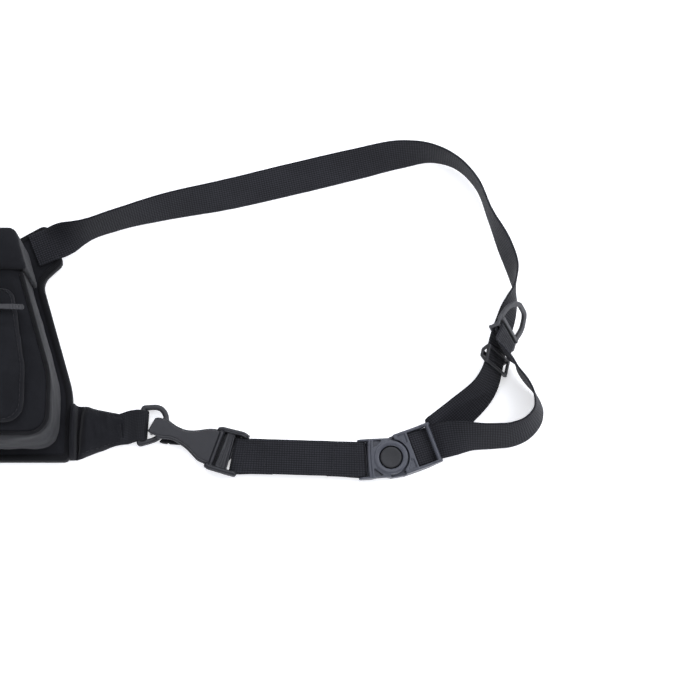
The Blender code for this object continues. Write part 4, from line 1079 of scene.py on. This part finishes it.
# female half: round base, ribbed shoulder, rails, two bars
f_base = combine(lathe([(0, 0.4), (13.0, 0.4), (13.6, 1.0), (13.6, 5.2), (13.0, 5.8), (0, 5.8)]),
                 (CUT, rod((0, 0, 2.5), (0, 0, 8), 10.5, 64)), (CUT, rod((0, 0, 1.0), (0, 0, 4), 5.6, 40)))
hollow = rod((0, 0, 5.8), (0, 0, 16), RING_R + 0.95, 96)
f_low = combine(plate([rounded([(6.8, -W), (13.4, -W), (13.4, W), (6.8, W)], 1.0, 4)], 0.4, 8.6),
                (CUT, rod((0, 0, 5.8), (0, 0, 16), RING_R + 0.95, 96)),
                (CUT, rod((0, 0, 2.5), (0, 0, 8), 10.5, 64)))
f_top = combine(plate([rounded([(6.6, -W), (16.3, -W), (16.3, W), (6.6, W)], [.5, .4, .4, .5], 3)], 8.05, 9.5, bevel=0.3),
                (CUT, hollow),
                *[(CUT, plate([rounded([(8.6, s * 13.0), (14.7, s * 13.0), (14.7, s * 6.6), (13.2, s * 5.6)][::s], .5, 3)], 8.6, 12))
                  for s in (1, -1)])
rail = rounded([(4.0, 0.6), (4.0, 5.7), (6.2, 5.7), (7.0, 9.2), (26, 9.4), (29, 10.4), (33.6, 10.4), (33.6, 6.8), (24, 1.4), (20, 0.6)],
               [.3, .8, .5, .8, 3, 2, 1.4, 3, 3, 1], 5)
f_rails = [combine(turned(plate([rail], s * (W - 0.95) - 0.95, s * (W - 0.95) + 0.95, bevel=0.3), SIDE),
                   (CUT, rod((0, 0, 5.8), (0, 0, 16), RING_R + 0.95, 96))) for s in (1, -1)]
f_skirt = [plate([[(-5.0, s * 12.4), (-5.0, s * 12.9), (0.0, s * 13.9), (6.0, s * 14.75), (6.0, s * 12.6)][::s]], 0.6, 5.7) for s in (1, -1)]
ledges = [box((12.5, min(s * 11.2, s * 13.6), 0.4), (31.0, max(s * 11.2, s * 13.6), 1.05)) for s in (1, -1)]
f_end = turned(plate([rounded([(30.0, 6.6), (30.2, 9.5), (31.0, 10.2), (32.4, 10.4), (33.3, 8.3), (32.6, 6.6)], [.4, .6, .5, .7, .7, .4], 4)], -W + 0.6, W - 0.6), SIDE)
female = moulded(together(f_base, f_low, f_top, *f_rails, *f_skirt, *ledges, f_end,
                          rod((FEM_BAR[0], -W + 0.6, FEM_BAR[1]), (FEM_BAR[0], W - 0.6, FEM_BAR[1]), BAR_R, 24)),
                 0.30, 2, 26000)
piece("buckle_female_mould_right", female, SLATE_P, "pack", "buckle_plastic", ["buckle_female_right"],
      weighted=True, twin=True, matrix=fem_frame)

# adjuster with a thumb loop
outer = rounded([(-14.0, -1.4), (16.2, -1.4), (15.4, 11), (7, 20.5), (-7, 20.5), (-14.6, 11)], [.5, .5, 12, 9, 9, 12], 7)
inner = rounded([(-11.4, 1.6), (12.6, 1.6), (11.8, 10), (5.5, 17.4), (-5.5, 17.4), (-11.4, 10)], [2, 2, 9, 7, 7, 9], 7)[::-1]
rail2 = rounded([(1.2, 2.2), (1.2, 4.4), (-6.6, 4.9), (-9.6, -0.6), (-9.6, -2.7), (-7.7, -2.7), (-7.5, -1.0), (-4.4, 2.5)],
                [.4, .4, 1.8, 1, .8, .8, 1.2, 1.5], 5)
loop = moulded(together(
    turned(plate([outer, inner], LOOP_Z0, LOOP_Z1, bevel=0.35), Matrix.Rotation(math.radians(LOOP_TILT), 4, "X")),
    turned(plate([rail2], 13.3, 16.1, bevel=0.3), TO_X), turned(plate([rail2], -14.4, -12.9, bevel=0.3), TO_X),
    rod((-14, BAR_B[0], BAR_B[1]), (14, BAR_B[0], BAR_B[1]), 1.0, 20),
    box((-13.2, -1.7, 3.0), (14.3, 0.8, 6.6)), box((-13.6, -9.5, -2.7), (14, -7.7, -1.15))), 0.30, 2, 16000)
for v in loop.vertices:
    v.co = Vector((v.co.x + CANT * max(0.0, v.co.y), v.co.y - CANT * v.co.x, v.co.z))
piece("loop_slider_mould_right", loop, GREY_P, "loop_slider_right", "slider_plastic", ["loop_slider_right"],
      weighted=True, twin=True, matrix=slider_frame)

rail3 = [rounded([(-6.4, 0.8), (-6.4, 3.4), (6.4, 3.4), (6.4, 0.8), (2.8, -3.4), (-2.8, -3.4)], [1, 1.4, 1.4, 1, 1.5, 1.5], 5),
         rounded([(-4.3, 1.6), (4.3, 1.6), (1.7, -1.5), (-1.7, -1.5)], [.6, .6, .6, .6], 4)]
glide = moulded(together(
    turned(plate(rail3, 13.3, 15.6, bevel=0.3), TO_X), turned(plate(rail3, -14.7, -13.0, bevel=0.3), TO_X),
    box((-14, -6.2, 1.35), (14, -4.2, 3.3)), box((-14, 4.2, 1.35), (14, 6.2, 3.3)),
    box((-14, -1.4, -3.3), (14, 1.4, -1.35)),
    *[rod((-14, y, 3.25), (14, y, 3.25), 0.3, 8) for y in (-5.6, -4.8, 4.8, 5.6)]), 0.28, 2, 12000)
for v in glide.vertices:
    v.co.y -= 1.5 + 0.12 * v.co.x
piece("tri_glide_mould_right", glide, GLIDE_P, "tri_glide_right", "glide_plastic", ["tri_glide_right"],
      weighted=True, twin=True, matrix=glide_frame)

# ---- soft goods -----------------------------------------------------------------------
def half_at(y, inset=0.0):
    """Half width of the pack outline at y."""
    if y <= PACK_YM:
        return PACK_HALF_BOTTOM - inset
    k = (y - PACK_YM) / (PACK_Y1 - PACK_YM)
    return PACK_HALF_BOTTOM + (PACK_HALF_TOP - PACK_HALF_BOTTOM) * k - inset


def pouch_outline(off, y0, y1, r, n=8):
    ym = PACK_YM
    return rounded([(half_at(y0, off), y0), (half_at(ym, off), ym), (half_at(y1, off), y1),
                    (-half_at(y1, off), y1), (-half_at(ym, off), ym), (-half_at(y0, off), y0)], r, n)


def subdivided(me, levels=1):
    ob = link("tmp", me)
    s = ob.modifiers.new("s", "SUBSURF")
    s.levels = s.render_levels = levels
    out = evaluated(ob)
    drop(ob)
    out.shade_smooth()
    return out


def puffed(me, held, voxel=4.0, pressure=4.0, frames=20, cap=5.0):
    """Padded fabric: cloth blown up from inside, held where it is sewn."""
    ob = link("puff", me)
    r = ob.modifiers.new("r", "REMESH")
    r.mode, r.voxel_size = "VOXEL", voxel
    me = evaluated(ob)
    ob.modifiers.clear()
    start = [v.co.copy() for v in me.vertices]
    me.transform(TO_M)
    ob.data = me
    pins = ob.vertex_groups.new(name="held")
    pins.add([i for i, c in enumerate(start) if held(c)], 1.0, "REPLACE")
    c = ob.modifiers.new("cloth", "CLOTH")
    st = c.settings
    st.quality, st.mass = 6, 0.2
    st.tension_stiffness = st.compression_stiffness = 20
    st.shear_stiffness, st.bending_stiffness = 8, 1.5
    st.use_pressure, st.uniform_pressure_force = True, pressure
    st.effector_weights.gravity = 0
    st.vertex_group_mass = "held"
    c.point_cache.frame_start, c.point_cache.frame_end = 1, frames
    for f in range(1, frames + 1):
        SCENE.frame_set(f)
    out = evaluated(ob)
    drop(ob)
    SCENE.frame_set(1)
    for v, a in zip(out.vertices, start):
        move = v.co / MM - a
        if move.length > cap:
            move *= cap / move.length
        v.co = a + move
    out.shade_smooth()
    return out


def wrinkled(me, amount, scale, where=None):
    """Small creases, deepest where the cloth is gathered."""
    me.update()
    normals = [v.normal.copy() for v in me.vertices]
    for v, n in zip(me.vertices, normals):
        p = v.co
        a = noise.noise(p * scale) + 0.5 * noise.noise(p * scale * 2.1 + Vector((7, 3, 1)))
        ridge = 0.5 - abs(noise.noise(p * scale * 0.8 + Vector((3, 9, 5))))
        v.co = p + n * amount * (0.6 * a + 0.7 * ridge) * (where(p) if where else 1.0)
    return me


def along(path, step, closed=False):
    """Even points along a polyline, in any number of dimensions."""
    p = [np.array(q, float) for q in path] + ([np.array(path[0], float)] if closed else [])
    d = [0.0]
    for a, b in zip(p, p[1:]):
        d.append(d[-1] + float(np.linalg.norm(b - a)))
    n = max(2, int(d[-1] / step))
    pa = np.array(p)
    return [tuple(np.interp(d[-1] * i / n, d, pa[:, j]) for j in range(pa.shape[1])) for i in range(n + (not closed))]


# side wing: soft panel that is gathered into the pack's side seam and into the tab
WING_UP = ([93.4, 95.0, 96.8, 98.6, 103.3, 109.7, 120.7, 126.2, 128.7, 131.2],
           [-34.6, -34.9, -36.3, -36.8, -37.0, -38.9, -41.1, -42.1, -42.9, -43.6])
WING_LOW = ([93.4, 96.7, 100.5, 105.1, 112.1, 116.8, 122.9, 126.8, 129.2, 131.2],
            [-75.9, -75.7, -75.0, -73.1, -70.3, -68.7, -66.1, -64.9, -64.6, -64.3])
WING_TOP = ([93.4, 95.0, 96.3, 97.3, 98.2, 99.2, 100.4, 102.4, 105.4, 112.0, 122.0, 128.0, 130.0, 131.2],
            [12.4, 13.2, 12.4, 8.0, 2.2, 2.4, 5.4, 9.6, 12.2, 11.0, 9.0, 8.2, 7.5, 6.6])


def wing():
    nx, nv = 96, 48
    bm = bmesh.new()
    rings = []
    for i in range(nx + 1):
        x = 93.4 + 37.8 * i / nx
        up, low = pchip(*WING_UP, x), pchip(*WING_LOW, x)
        cy, hy = (up + low) / 2, (up - low) / 2
        ring = []
        for j in range(nv):
            v = -math.cos(math.pi * j / (nv - 1))
            y = cy + hy * v
            # the gather runs a little on the slant, and deepest above its middle
            xs = x - 0.035 * (y + 56) + 0.7 * noise.noise(Vector((y * 0.08, 2.0, 0)))
            # and it closes towards the lower edge
            if abs(xs - 98.8) < 5.0:
                xs = 98.8 + (xs - 98.8) * (1 + (0.15 - 0.75 * v) * (1 - abs(xs - 98.8) / 5.0))
            top = pchip(*WING_TOP, min(131.2, max(93.4, xs)))
            tuck = 2.4 * math.exp(-((x - 129.2) / 0.75) ** 2) * smooth_step((y + 66.0) / 4) * smooth_step((-48.5 - y) / 4)
            body = (1 - abs(v) ** 3.2) ** 0.55
            fold = 0.55 * noise.noise(Vector((x * 0.17, y * 0.035, 1.3))) + 0.32 * noise.noise(Vector((x * 0.31 + y * 0.06, y * 0.07, 4.1)))
            pull = 0.5 * math.exp(-((x - 127.5) / 4.0) ** 2) * math.sin(y * 1.15 + 2 * noise.noise(Vector((y * 0.2, 0, 0))))
            edge = 0.35 * abs(v) ** 4 * noise.noise(Vector((x * 0.45, 3.0 * v, 8.0)))
            amp = min(1.0, (x - 93.4) / 6.0) * body
            ring.append((x, y, 1.0 + (top - 1.0) * (0.18 + 0.82 * body) + (fold * 2.5 + pull - tuck) * amp + edge))
        for j in range(nv - 2, 0, -1):
            v = -math.cos(math.pi * j / (nv - 1))
            body = (1 - abs(v) ** 3.2) ** 0.55
            ring.append((x, cy + hy * v, 1.0 + (1 - body) * 1.2))
        rings.append([bm.verts.new(p) for p in ring])
    m = len(rings[0])
    for a, b in zip(rings, rings[1:]):
        for j in range(m):
            bm.faces.new((a[j], a[(j + 1) % m], b[(j + 1) % m], b[j]))
    bm.faces.new(rings[0])
    bm.faces.new(rings[-1])
    me = mesh_of(bm)
    me.shade_smooth()
    return me


wing_mesh = wing()
piece("side_wing_cloth_right", wing_mesh, CLOTH, "pack", "pack_fabric", ["side_wing_right"], padded=0.35, twin=True)

# back panel: padded, quilted on the face that lies against the wearer, bound round its edge
strap_dir = Vector((0.92, 0.39)).normalized()
across = Vector((-strap_dir.y, strap_dir.x))
ear_end = Vector(STRAP_ROUTE[0][:2]) + strap_dir * 15
ear_a, ear_b = ear_end - across * 15, ear_end + across * 15
back_half = [(PACK_HALF_BOTTOM, PACK_Y0), (PACK_HALF_BOTTOM, PACK_YM), (half_at(54), 54),
             (ear_a.x, ear_a.y), (ear_b.x, ear_b.y), (44, PACK_Y1)]
back_radii = [4, 60, 12, 4, 4, 12]
back_out = rounded(back_half + [(-x, y) for x, y in reversed(back_half)], back_radii + back_radii[::-1], 10)


def quilt(p):
    if p.z > 4:
        return Vector((0, 0, 0.5 * noise.noise(p * 0.05)))
    d = min(abs(p.x - c) for c in (-54, -18, 18, 54))
    e = abs(p.y + 2)
    return Vector((0, 0, 1.6 * math.exp(-(d / 2.2) ** 2) + 1.2 * math.exp(-(e / 2.2) ** 2)))


piece("back_panel_pad", moulded(plate([back_out], 0, BACK_T, bevel=1.5), 2.0, 3, 16000, quilt), CLOTH, "pack", "pack_fabric",
      ["back_panel"], padded=0.5)
round_back = along(back_out, 2.0, True)
bind = [(-3.2, 0.1), (0.5, 0.2), (1.1, 1.0), (1.3, 4.0), (1.1, 7.0), (0.5, 7.9), (-3.2, 8.3), (-3.4, 7.6), (-0.2, 7.2), (0.2, 4.0), (-0.2, 0.9), (-3.4, 0.8)]
area = sum(a[0] * b[1] - b[0] * a[1] for a, b in zip(back_out, back_out[1:] + back_out[:1]))
piece("back_panel_binding", swept(round_back if area > 0 else round_back[::-1], bind), TAPE, "pack", "pack_fabric")

# pouch: sewn shell with welts; its sides belly out between the seams
pouch_out = pouch_outline(INSET, P_Y0, P_Y1, [14, 60, 3, 3, 60, 14])
shell = puffed(plate([pouch_out], POUCH_Z0, POUCH_Z1, bevel=5, res=3),
               lambda c: c.z < 13 or c.z > POUCH_Z1 - 2.5 or c.y > 40, 4.0, 5.0, 20, 4.0)
shell = wrinkled(subdivided(shell), 0.7, 0.07, lambda p: 1.0 if 10 < p.z < POUCH_Z1 - 3 and p.y < 42 else 0.15)
shell = combine(shell, (CUT, plate([pouch_outline(INSET + POUCH_WALL, P_Y0 + POUCH_WALL, P_Y1 + 20, [11, 56, 3, 3, 56, 11])],
                                   POUCH_Z0 + POUCH_WALL, POUCH_Z1 - POUCH_WALL)))
shell.shade_smooth()
shell.set_sharp_from_angle(angle=math.radians(55))
piece("pouch_shell_cloth", shell, CLOTH, "pack", "pack_fabric", ["pouch_shell"], padded=0.5)

ring = pouch_outline(INSET + 1.2, P_Y0 + 1.2, P_Y1, [14, 60, 3, 3, 60, 14])
low = [p for p in along(ring, 1.5, True) if p[1] < 44]
start_at = max(range(len(low)), key=lambda i: (Vector(low[i]) - Vector(low[i - 1])).length)
low = low[start_at:] + low[:start_at]
piece("pouch_welt", tube([(x, y, POUCH_Z1 - 1.6) for x, y in low], 1.5, False, 4), TAPE, "pack", "pack_fabric")

# lid: soft cap
lid_off = INSET - 0.7 - LID_WALL
lid_out = rounded([(half_at(LID_Y0, lid_off), LID_Y0), (half_at(P_Y1 + 4, lid_off), P_Y1 + 4),
                   (-half_at(P_Y1 + 4, lid_off), P_Y1 + 4), (-half_at(LID_Y0, lid_off), LID_Y0)], [1, 6, 6, 1], 8)
lid_in = [(half_at(LID_Y0 - 6, INSET - 0.7), LID_Y0 - 6), (half_at(P_Y1 + 0.7, INSET - 0.7), P_Y1 + 0.7),
          (-half_at(P_Y1 + 0.7, INSET - 0.7), P_Y1 + 0.7), (-half_at(LID_Y0 - 6, INSET - 0.7), LID_Y0 - 6)]


def crown(p):
    if p.z > LID_Z1 - 3:
        return Vector((0, 0, 1.3 * max(0, 1 - (p.x / 62) ** 2) * max(0, 1 - ((p.y - 61) / 15) ** 2) - 0.3))
    return Vector((0, 0, 0))


lid_skin = moulded(plate([lid_out], 13.0, LID_Z1), 1.8, 4, 0, crown)
lid_skin = combine(wrinkled(lid_skin, 0.35, 0.09), (CUT, plate([lid_in], 8.0, LID_Z1 - LID_WALL - 0.4)))
lid_skin.shade_smooth()
lid_skin.set_sharp_from_angle(angle=math.radians(50))
piece("lid_cloth", lid_skin, CLOTH, "lid", "pack_fabric", ["lid"], padded=0.3)

# pull tab sewn on the lid's end
tab_out = rounded([(-11, 0), (11, 0), (11, 26), (-11, 26)], [1, 1, 5, 5], 8)
end_face = Matrix.Translation(Vector((0, P_Y1 + 4 + GAP, 44))) @ Matrix.Rotation(math.radians(-90), 4, "X")
piece("lid_tab_web", moulded(plate([tab_out], 0, 2.4, bevel=0.6), 0.7, 2, 6000), TAPE, "lid", "webbing", ["lid_tab"],
      matrix=end_face)

# front pocket: panel bellied out below its zip
pocket_out = rounded([(70, -62), (70, -24), (60, 32), (-60, 32), (-70, -24), (-70, -62)], [12, 40, 10, 10, 40, 12], 8)
pocket = puffed(plate([pocket_out], POUCH_Z1 + GAP, POCKET_Z1, bevel=2.5, res=3),
                lambda c: c.z < 67 or c.y > 5, 3.0, 5.0, 20, 4.5)
pocket = wrinkled(subdivided(pocket), 0.6, 0.08, lambda p: 1.0 if p.z > 67 and p.y < 4 else 0.1)
piece("front_pocket_cloth", pocket, CLOTH, "pack", "pack_fabric", ["front_pocket"], padded=0.55)

# zip: tape, two rows of coil, slider and pull
ZIP_Y, ZIP_HALF, ZIP_X, PULL_DROOP = 16.0, 52.0, 42.0, 6.5
coil_z = POCKET_Z1 + 1.3 + GAP
zip_tape = moulded(plate([rounded([(ZIP_HALF, ZIP_Y - 6), (ZIP_HALF, ZIP_Y + 6), (-ZIP_HALF, ZIP_Y + 6), (-ZIP_HALF, ZIP_Y - 6)], 2, 4)],
                         POCKET_Z1 + GAP, POCKET_Z1 + 1.3, bevel=0.2), 0.5, 1, 9000)
piece("zip_tape_woven", zip_tape, TAPE, "pack", "zip_tape", ["zip_tape"])
teeth = []
for i in range(60):
    x = -47.5 + 95.0 * i / 59
    for s in (1, -1):
        xx = x + (0.4 if s > 0 else -0.4)
        teeth.append(tube([(xx, ZIP_Y + s * 1.9, coil_z + 0.5), (xx, ZIP_Y + s * 0.9, coil_z + 0.85), (xx, ZIP_Y - s * 0.5, coil_z + 0.75)],
                          0.42, False, 1))
piece("zip_coil_teeth", together(*teeth), ZIP_P, "pack", "zip_plastic", ["zip_coil"])
zip_pos = Vector((ZIP_X, ZIP_Y, coil_z))
zip_body = moulded(together(plate([rounded([(-5, -3.4), (-2, -4.3), (5, -4.3), (5, 4.3), (-2, 4.3), (-5, 3.4)], [1.4, 1.5, 1.2, 1.2, 1.5, 1.4], 4)], 1.5, 3.1),
                            box((-4.6, -4.2, 0.0), (4.8, -2.4, 1.7)), box((-4.6, 2.4, 0.0), (4.8, 4.2, 1.7)),
                            box((2.2, -3.4, 2.6), (4.2, -2.2, 6.0)), box((2.2, 2.2, 2.6), (4.2, 3.4, 6.0)),
                            rod((3.2, -2.6, 5.2), (3.2, 2.6, 5.2), 0.7, 14)), 0.22, 2, 9000)
piece("zip_slider_cast", zip_body, GUNMETAL, "zip_slider", "zip_plastic", ["zip_slider"], weighted=True,
      matrix=placed(zip_pos))
eye = combine(rod((0, -1.9, 0), (0, 1.9, 0), 1.75, 24), (CUT, rod((0, -4, 0), (0, 4, 0), 1.0, 20)))
paddle = plate([rounded([(1.0, -1.9), (8, -1.7), (16, -1.9), (24, -1.9), (24, 1.9), (16, 1.9), (8, 1.7), (1.0, 1.9)],
                        [.3, 3, 3, 1.5, 1.5, 3, 3, .3], 4)], -0.8, 0.8)
grips = [rod((x, -1.5, z), (x, 1.5, z), 0.3, 8) for x in (15, 17, 19, 21) for z in (0.75, -0.75)]
piece("zip_pull_paddle", moulded(together(eye, paddle, *grips), 0.2, 2, 7000), ZIP_P, "zip_pull", "zip_plastic", ["zip_pull"],
      weighted=True, matrix=placed(zip_pos + Vector((3.2, 0, 5.2)), 0.0, PULL_DROOP))

# ---- stitching ------------------------------------------------------------------------
half = WEB_W / 2


def box_of(s0, s1, v, cross=False):
    runs = [[(s0, -v), (s1, -v), (s1, v), (s0, v), (s0, -v)]]
    if cross:
        runs += [[(s0, -v), (s1, v)], [(s0, v), (s1, -v)]]
    return runs


side_run = side_strip.length
ends = [i for i in range(len(side_strip.p))]
# the run between the bars lies between the two wraps
top_rows = [s for s, n in zip(side_strip.s, side_strip.normal) if abs(n[2]) > 0.9]
bar_a = float(side_strip.s[int(np.argmin(side_strip.p[:, 0]))])
bar_b = float(side_strip.s[int(np.argmax(side_strip.p[:, 0]))])
up_face = 1 if side_strip.normal[int(np.argmin(abs(side_strip.s - (bar_a + bar_b) / 2)))][2] > 0 else -1
runs = box_of(bar_b - 23, bar_b - 7, half - 2.6) + box_of(bar_a + 9.5, bar_a + 24, half - 2.6)
piece("side_strap_stitches_right", together(*[sewn(side_strip, r, up_face) for r in runs]), THREAD, "pack", "webbing",
      blend=side_blend, twin=True)

ear_face = 1 if shoulder.normal[2][2] > 0 else -1
piece("ear_stitches_right", together(*[sewn(shoulder, r, ear_face) for r in box_of(1.5, 17.0, half - 2.4, True)]), THREAD,
      "pack", "webbing", twin=True)

mid_tab = tab_strip.length
tab_face = 1 if tab_strip.normal[-3][2] > 0 else -1
piece("tab_stitches_right", together(sewn(tab_strip, [(mid_tab - 8.6, -9.2), (mid_tab - 8.6, 9.2)], tab_face),
                                     sewn(tab_strip, [(mid_tab - 6.8, -9.2), (mid_tab - 6.8, 9.2)], tab_face)), THREAD,
      "pack", "webbing", twin=True)


def over_wing(v, x0, x1):
    """Stitch line along the wing at a fraction v of its half width."""
    pts, nor = [], []
    for i in range(60):
        x = x0 + (x1 - x0) * i / 59
        up, lo = pchip(*WING_UP, x), pchip(*WING_LOW, x)
        y = (up + lo) / 2 + (up - lo) / 2 * v
        best = min((q for q in WING_POINTS if abs(q[0] - x) < 0.45), key=lambda q: (q[1] - y) ** 2 - 0.2 * q[2])
        pts.append((best[0], best[1], best[2] + 0.1))
        nor.append((0, 0.15 * v, 1))
    return stitch_run(pts, nor)


WING_POINTS = [tuple(v.co / MM) for v in wing_mesh.vertices if v.co.z > 3.0 * MM]
piece("wing_stitches_right", together(over_wing(0.86, 101, 128.5), over_wing(-0.86, 101, 128.5)), THREAD, "pack",
      "pack_fabric", twin=True)

pocket_seam = along([(x * 0.965, y * 0.965 - 0.5) for x, y in pocket_out], 1.0, True)
piece("pocket_stitches", stitch_run([(x, y, POCKET_Z1 - 0.55) for x, y in pocket_seam], [(0, 0, 1)] * len(pocket_seam)), THREAD,
      "pack", "pack_fabric")
zip_seam = [[(x, ZIP_Y + s * 5.2, POCKET_Z1 + 1.32) for x in np.linspace(-50, 50, 100)] for s in (1, -1)]
piece("zip_stitches", together(*[stitch_run(r, [(0, 0, 1)] * len(r)) for r in zip_seam]), THREAD, "pack", "pack_fabric")
tab_seam = [[(-9, 3, 2.45), (9, 3, 2.45), (9, 9, 2.45), (-9, 9, 2.45), (-9, 3, 2.45)], [(-9, 3, 2.45), (9, 9, 2.45)], [(-9, 9, 2.45), (9, 3, 2.45)]]
piece("lid_tab_stitches", together(*[stitch_run(along(r, 1.0), [(0, 0, 1)] * len(along(r, 1.0))) for r in tab_seam]), THREAD, "lid",
      "webbing", matrix=end_face)
back_seam = along([(x * 0.972, y * 0.972) for x, y in back_out], 1.0, True)

# ---- small parts that keep their own shape ----------------------------------------------
for n, ob in NODES.items():
    mat = NICKEL if "magnet" in n else STEEL if "spring" in n or "pin" in n else CLOTH
    ob.data.materials.clear()
    ob.data.materials.append(mat)

MADE = build_pieces()

# ---- floor, light, camera -------------------------------------------------------------
bm = bmesh.new()
bmesh.ops.create_grid(bm, x_segments=2, y_segments=2, size=4.0)
floor = link("floor", mesh_of(bm))
floor.location = (0, 0, -0.0003)
k = Nodes("floor")
k.done(Base_Color=(0.86, 0.86, 0.86, 1), Roughness=0.9, Specular_IOR_Level=0.1,
       Emission_Color=(1, 1, 1, 1), Emission_Strength=0.48)
floor.data.materials.append(k.m)

world = bpy.data.worlds.new("studio")
SCENE.world = world
world.use_nodes = True
# dim overhead and brighter low down, so that flat tops stay dark and rolled edges catch light
sky = world.node_tree
at = sky.nodes.new("ShaderNodeTexCoord")
split = sky.nodes.new("ShaderNodeSeparateXYZ")
fade = sky.nodes.new("ShaderNodeValToRGB")
sky.links.new(at.outputs["Generated"], split.inputs[0])
sky.links.new(split.outputs["Z"], fade.inputs["Fac"])
fade.color_ramp.elements[0].position, fade.color_ramp.elements[0].color = 0.10, (0.62, 0.635, 0.66, 1)
fade.color_ramp.elements[1].position, fade.color_ramp.elements[1].color = 0.95, (0.22, 0.225, 0.235, 1)
sky.links.new(fade.outputs["Color"], sky.nodes["Background"].inputs["Color"])
sky.nodes["Background"].inputs["Strength"].default_value = 1.0


def softbox(name, at, aim, size, power, colour=(1, 1, 1)):
    la = bpy.data.lights.new(name, "AREA")
    la.shape, la.size, la.size_y = "RECTANGLE", size[0], size[1]
    la.energy, la.color = power, colour
    ob = bpy.data.objects.new(name, la)
    SCENE.collection.objects.link(ob)
    ob.location = at
    ob.rotation_euler = (Vector(aim) - Vector(at)).to_track_quat("-Z", "Y").to_euler()


COOL = (0.95, 0.97, 1.06)
softbox("key", (1.3, 0.25, 1.1), (0.25, 0.0, 0.0), (1.0, 1.0), 14, COOL)
softbox("top", (0.1, 0.6, 1.5), (0.2, 0.0, 0.0), (1.4, 0.9), 11, COOL)
softbox("fill", (-0.7, -0.9, 1.0), (0.2, 0.0, 0.0), (1.0, 1.0), 4, COOL)
softbox("rim", (0.25, -1.30, 0.62), (0.28, -0.05, 0.0), (1.5, 0.10), 9, COOL)
softbox("edge", (0.30, 1.35, 0.80), (0.28, -0.05, 0.0), (1.6, 0.10), 7, COOL)

cam = bpy.data.cameras.new("camera")
cam.lens, cam.sensor_width = 100.0, 36.0
camera = bpy.data.objects.new("camera", cam)
SCENE.collection.objects.link(camera)
EL, DIST, AIM = math.radians(76.0), 1.389, Vector((0.290, 0.005, 0.0))
camera.location = AIM + DIST * Vector((0, -math.cos(EL), math.sin(EL)))
camera.rotation_euler = (math.radians(14.0), 0, 0)
SCENE.camera = camera
SCENE.view_settings.view_transform = "Standard"
SCENE.view_settings.look = "None"
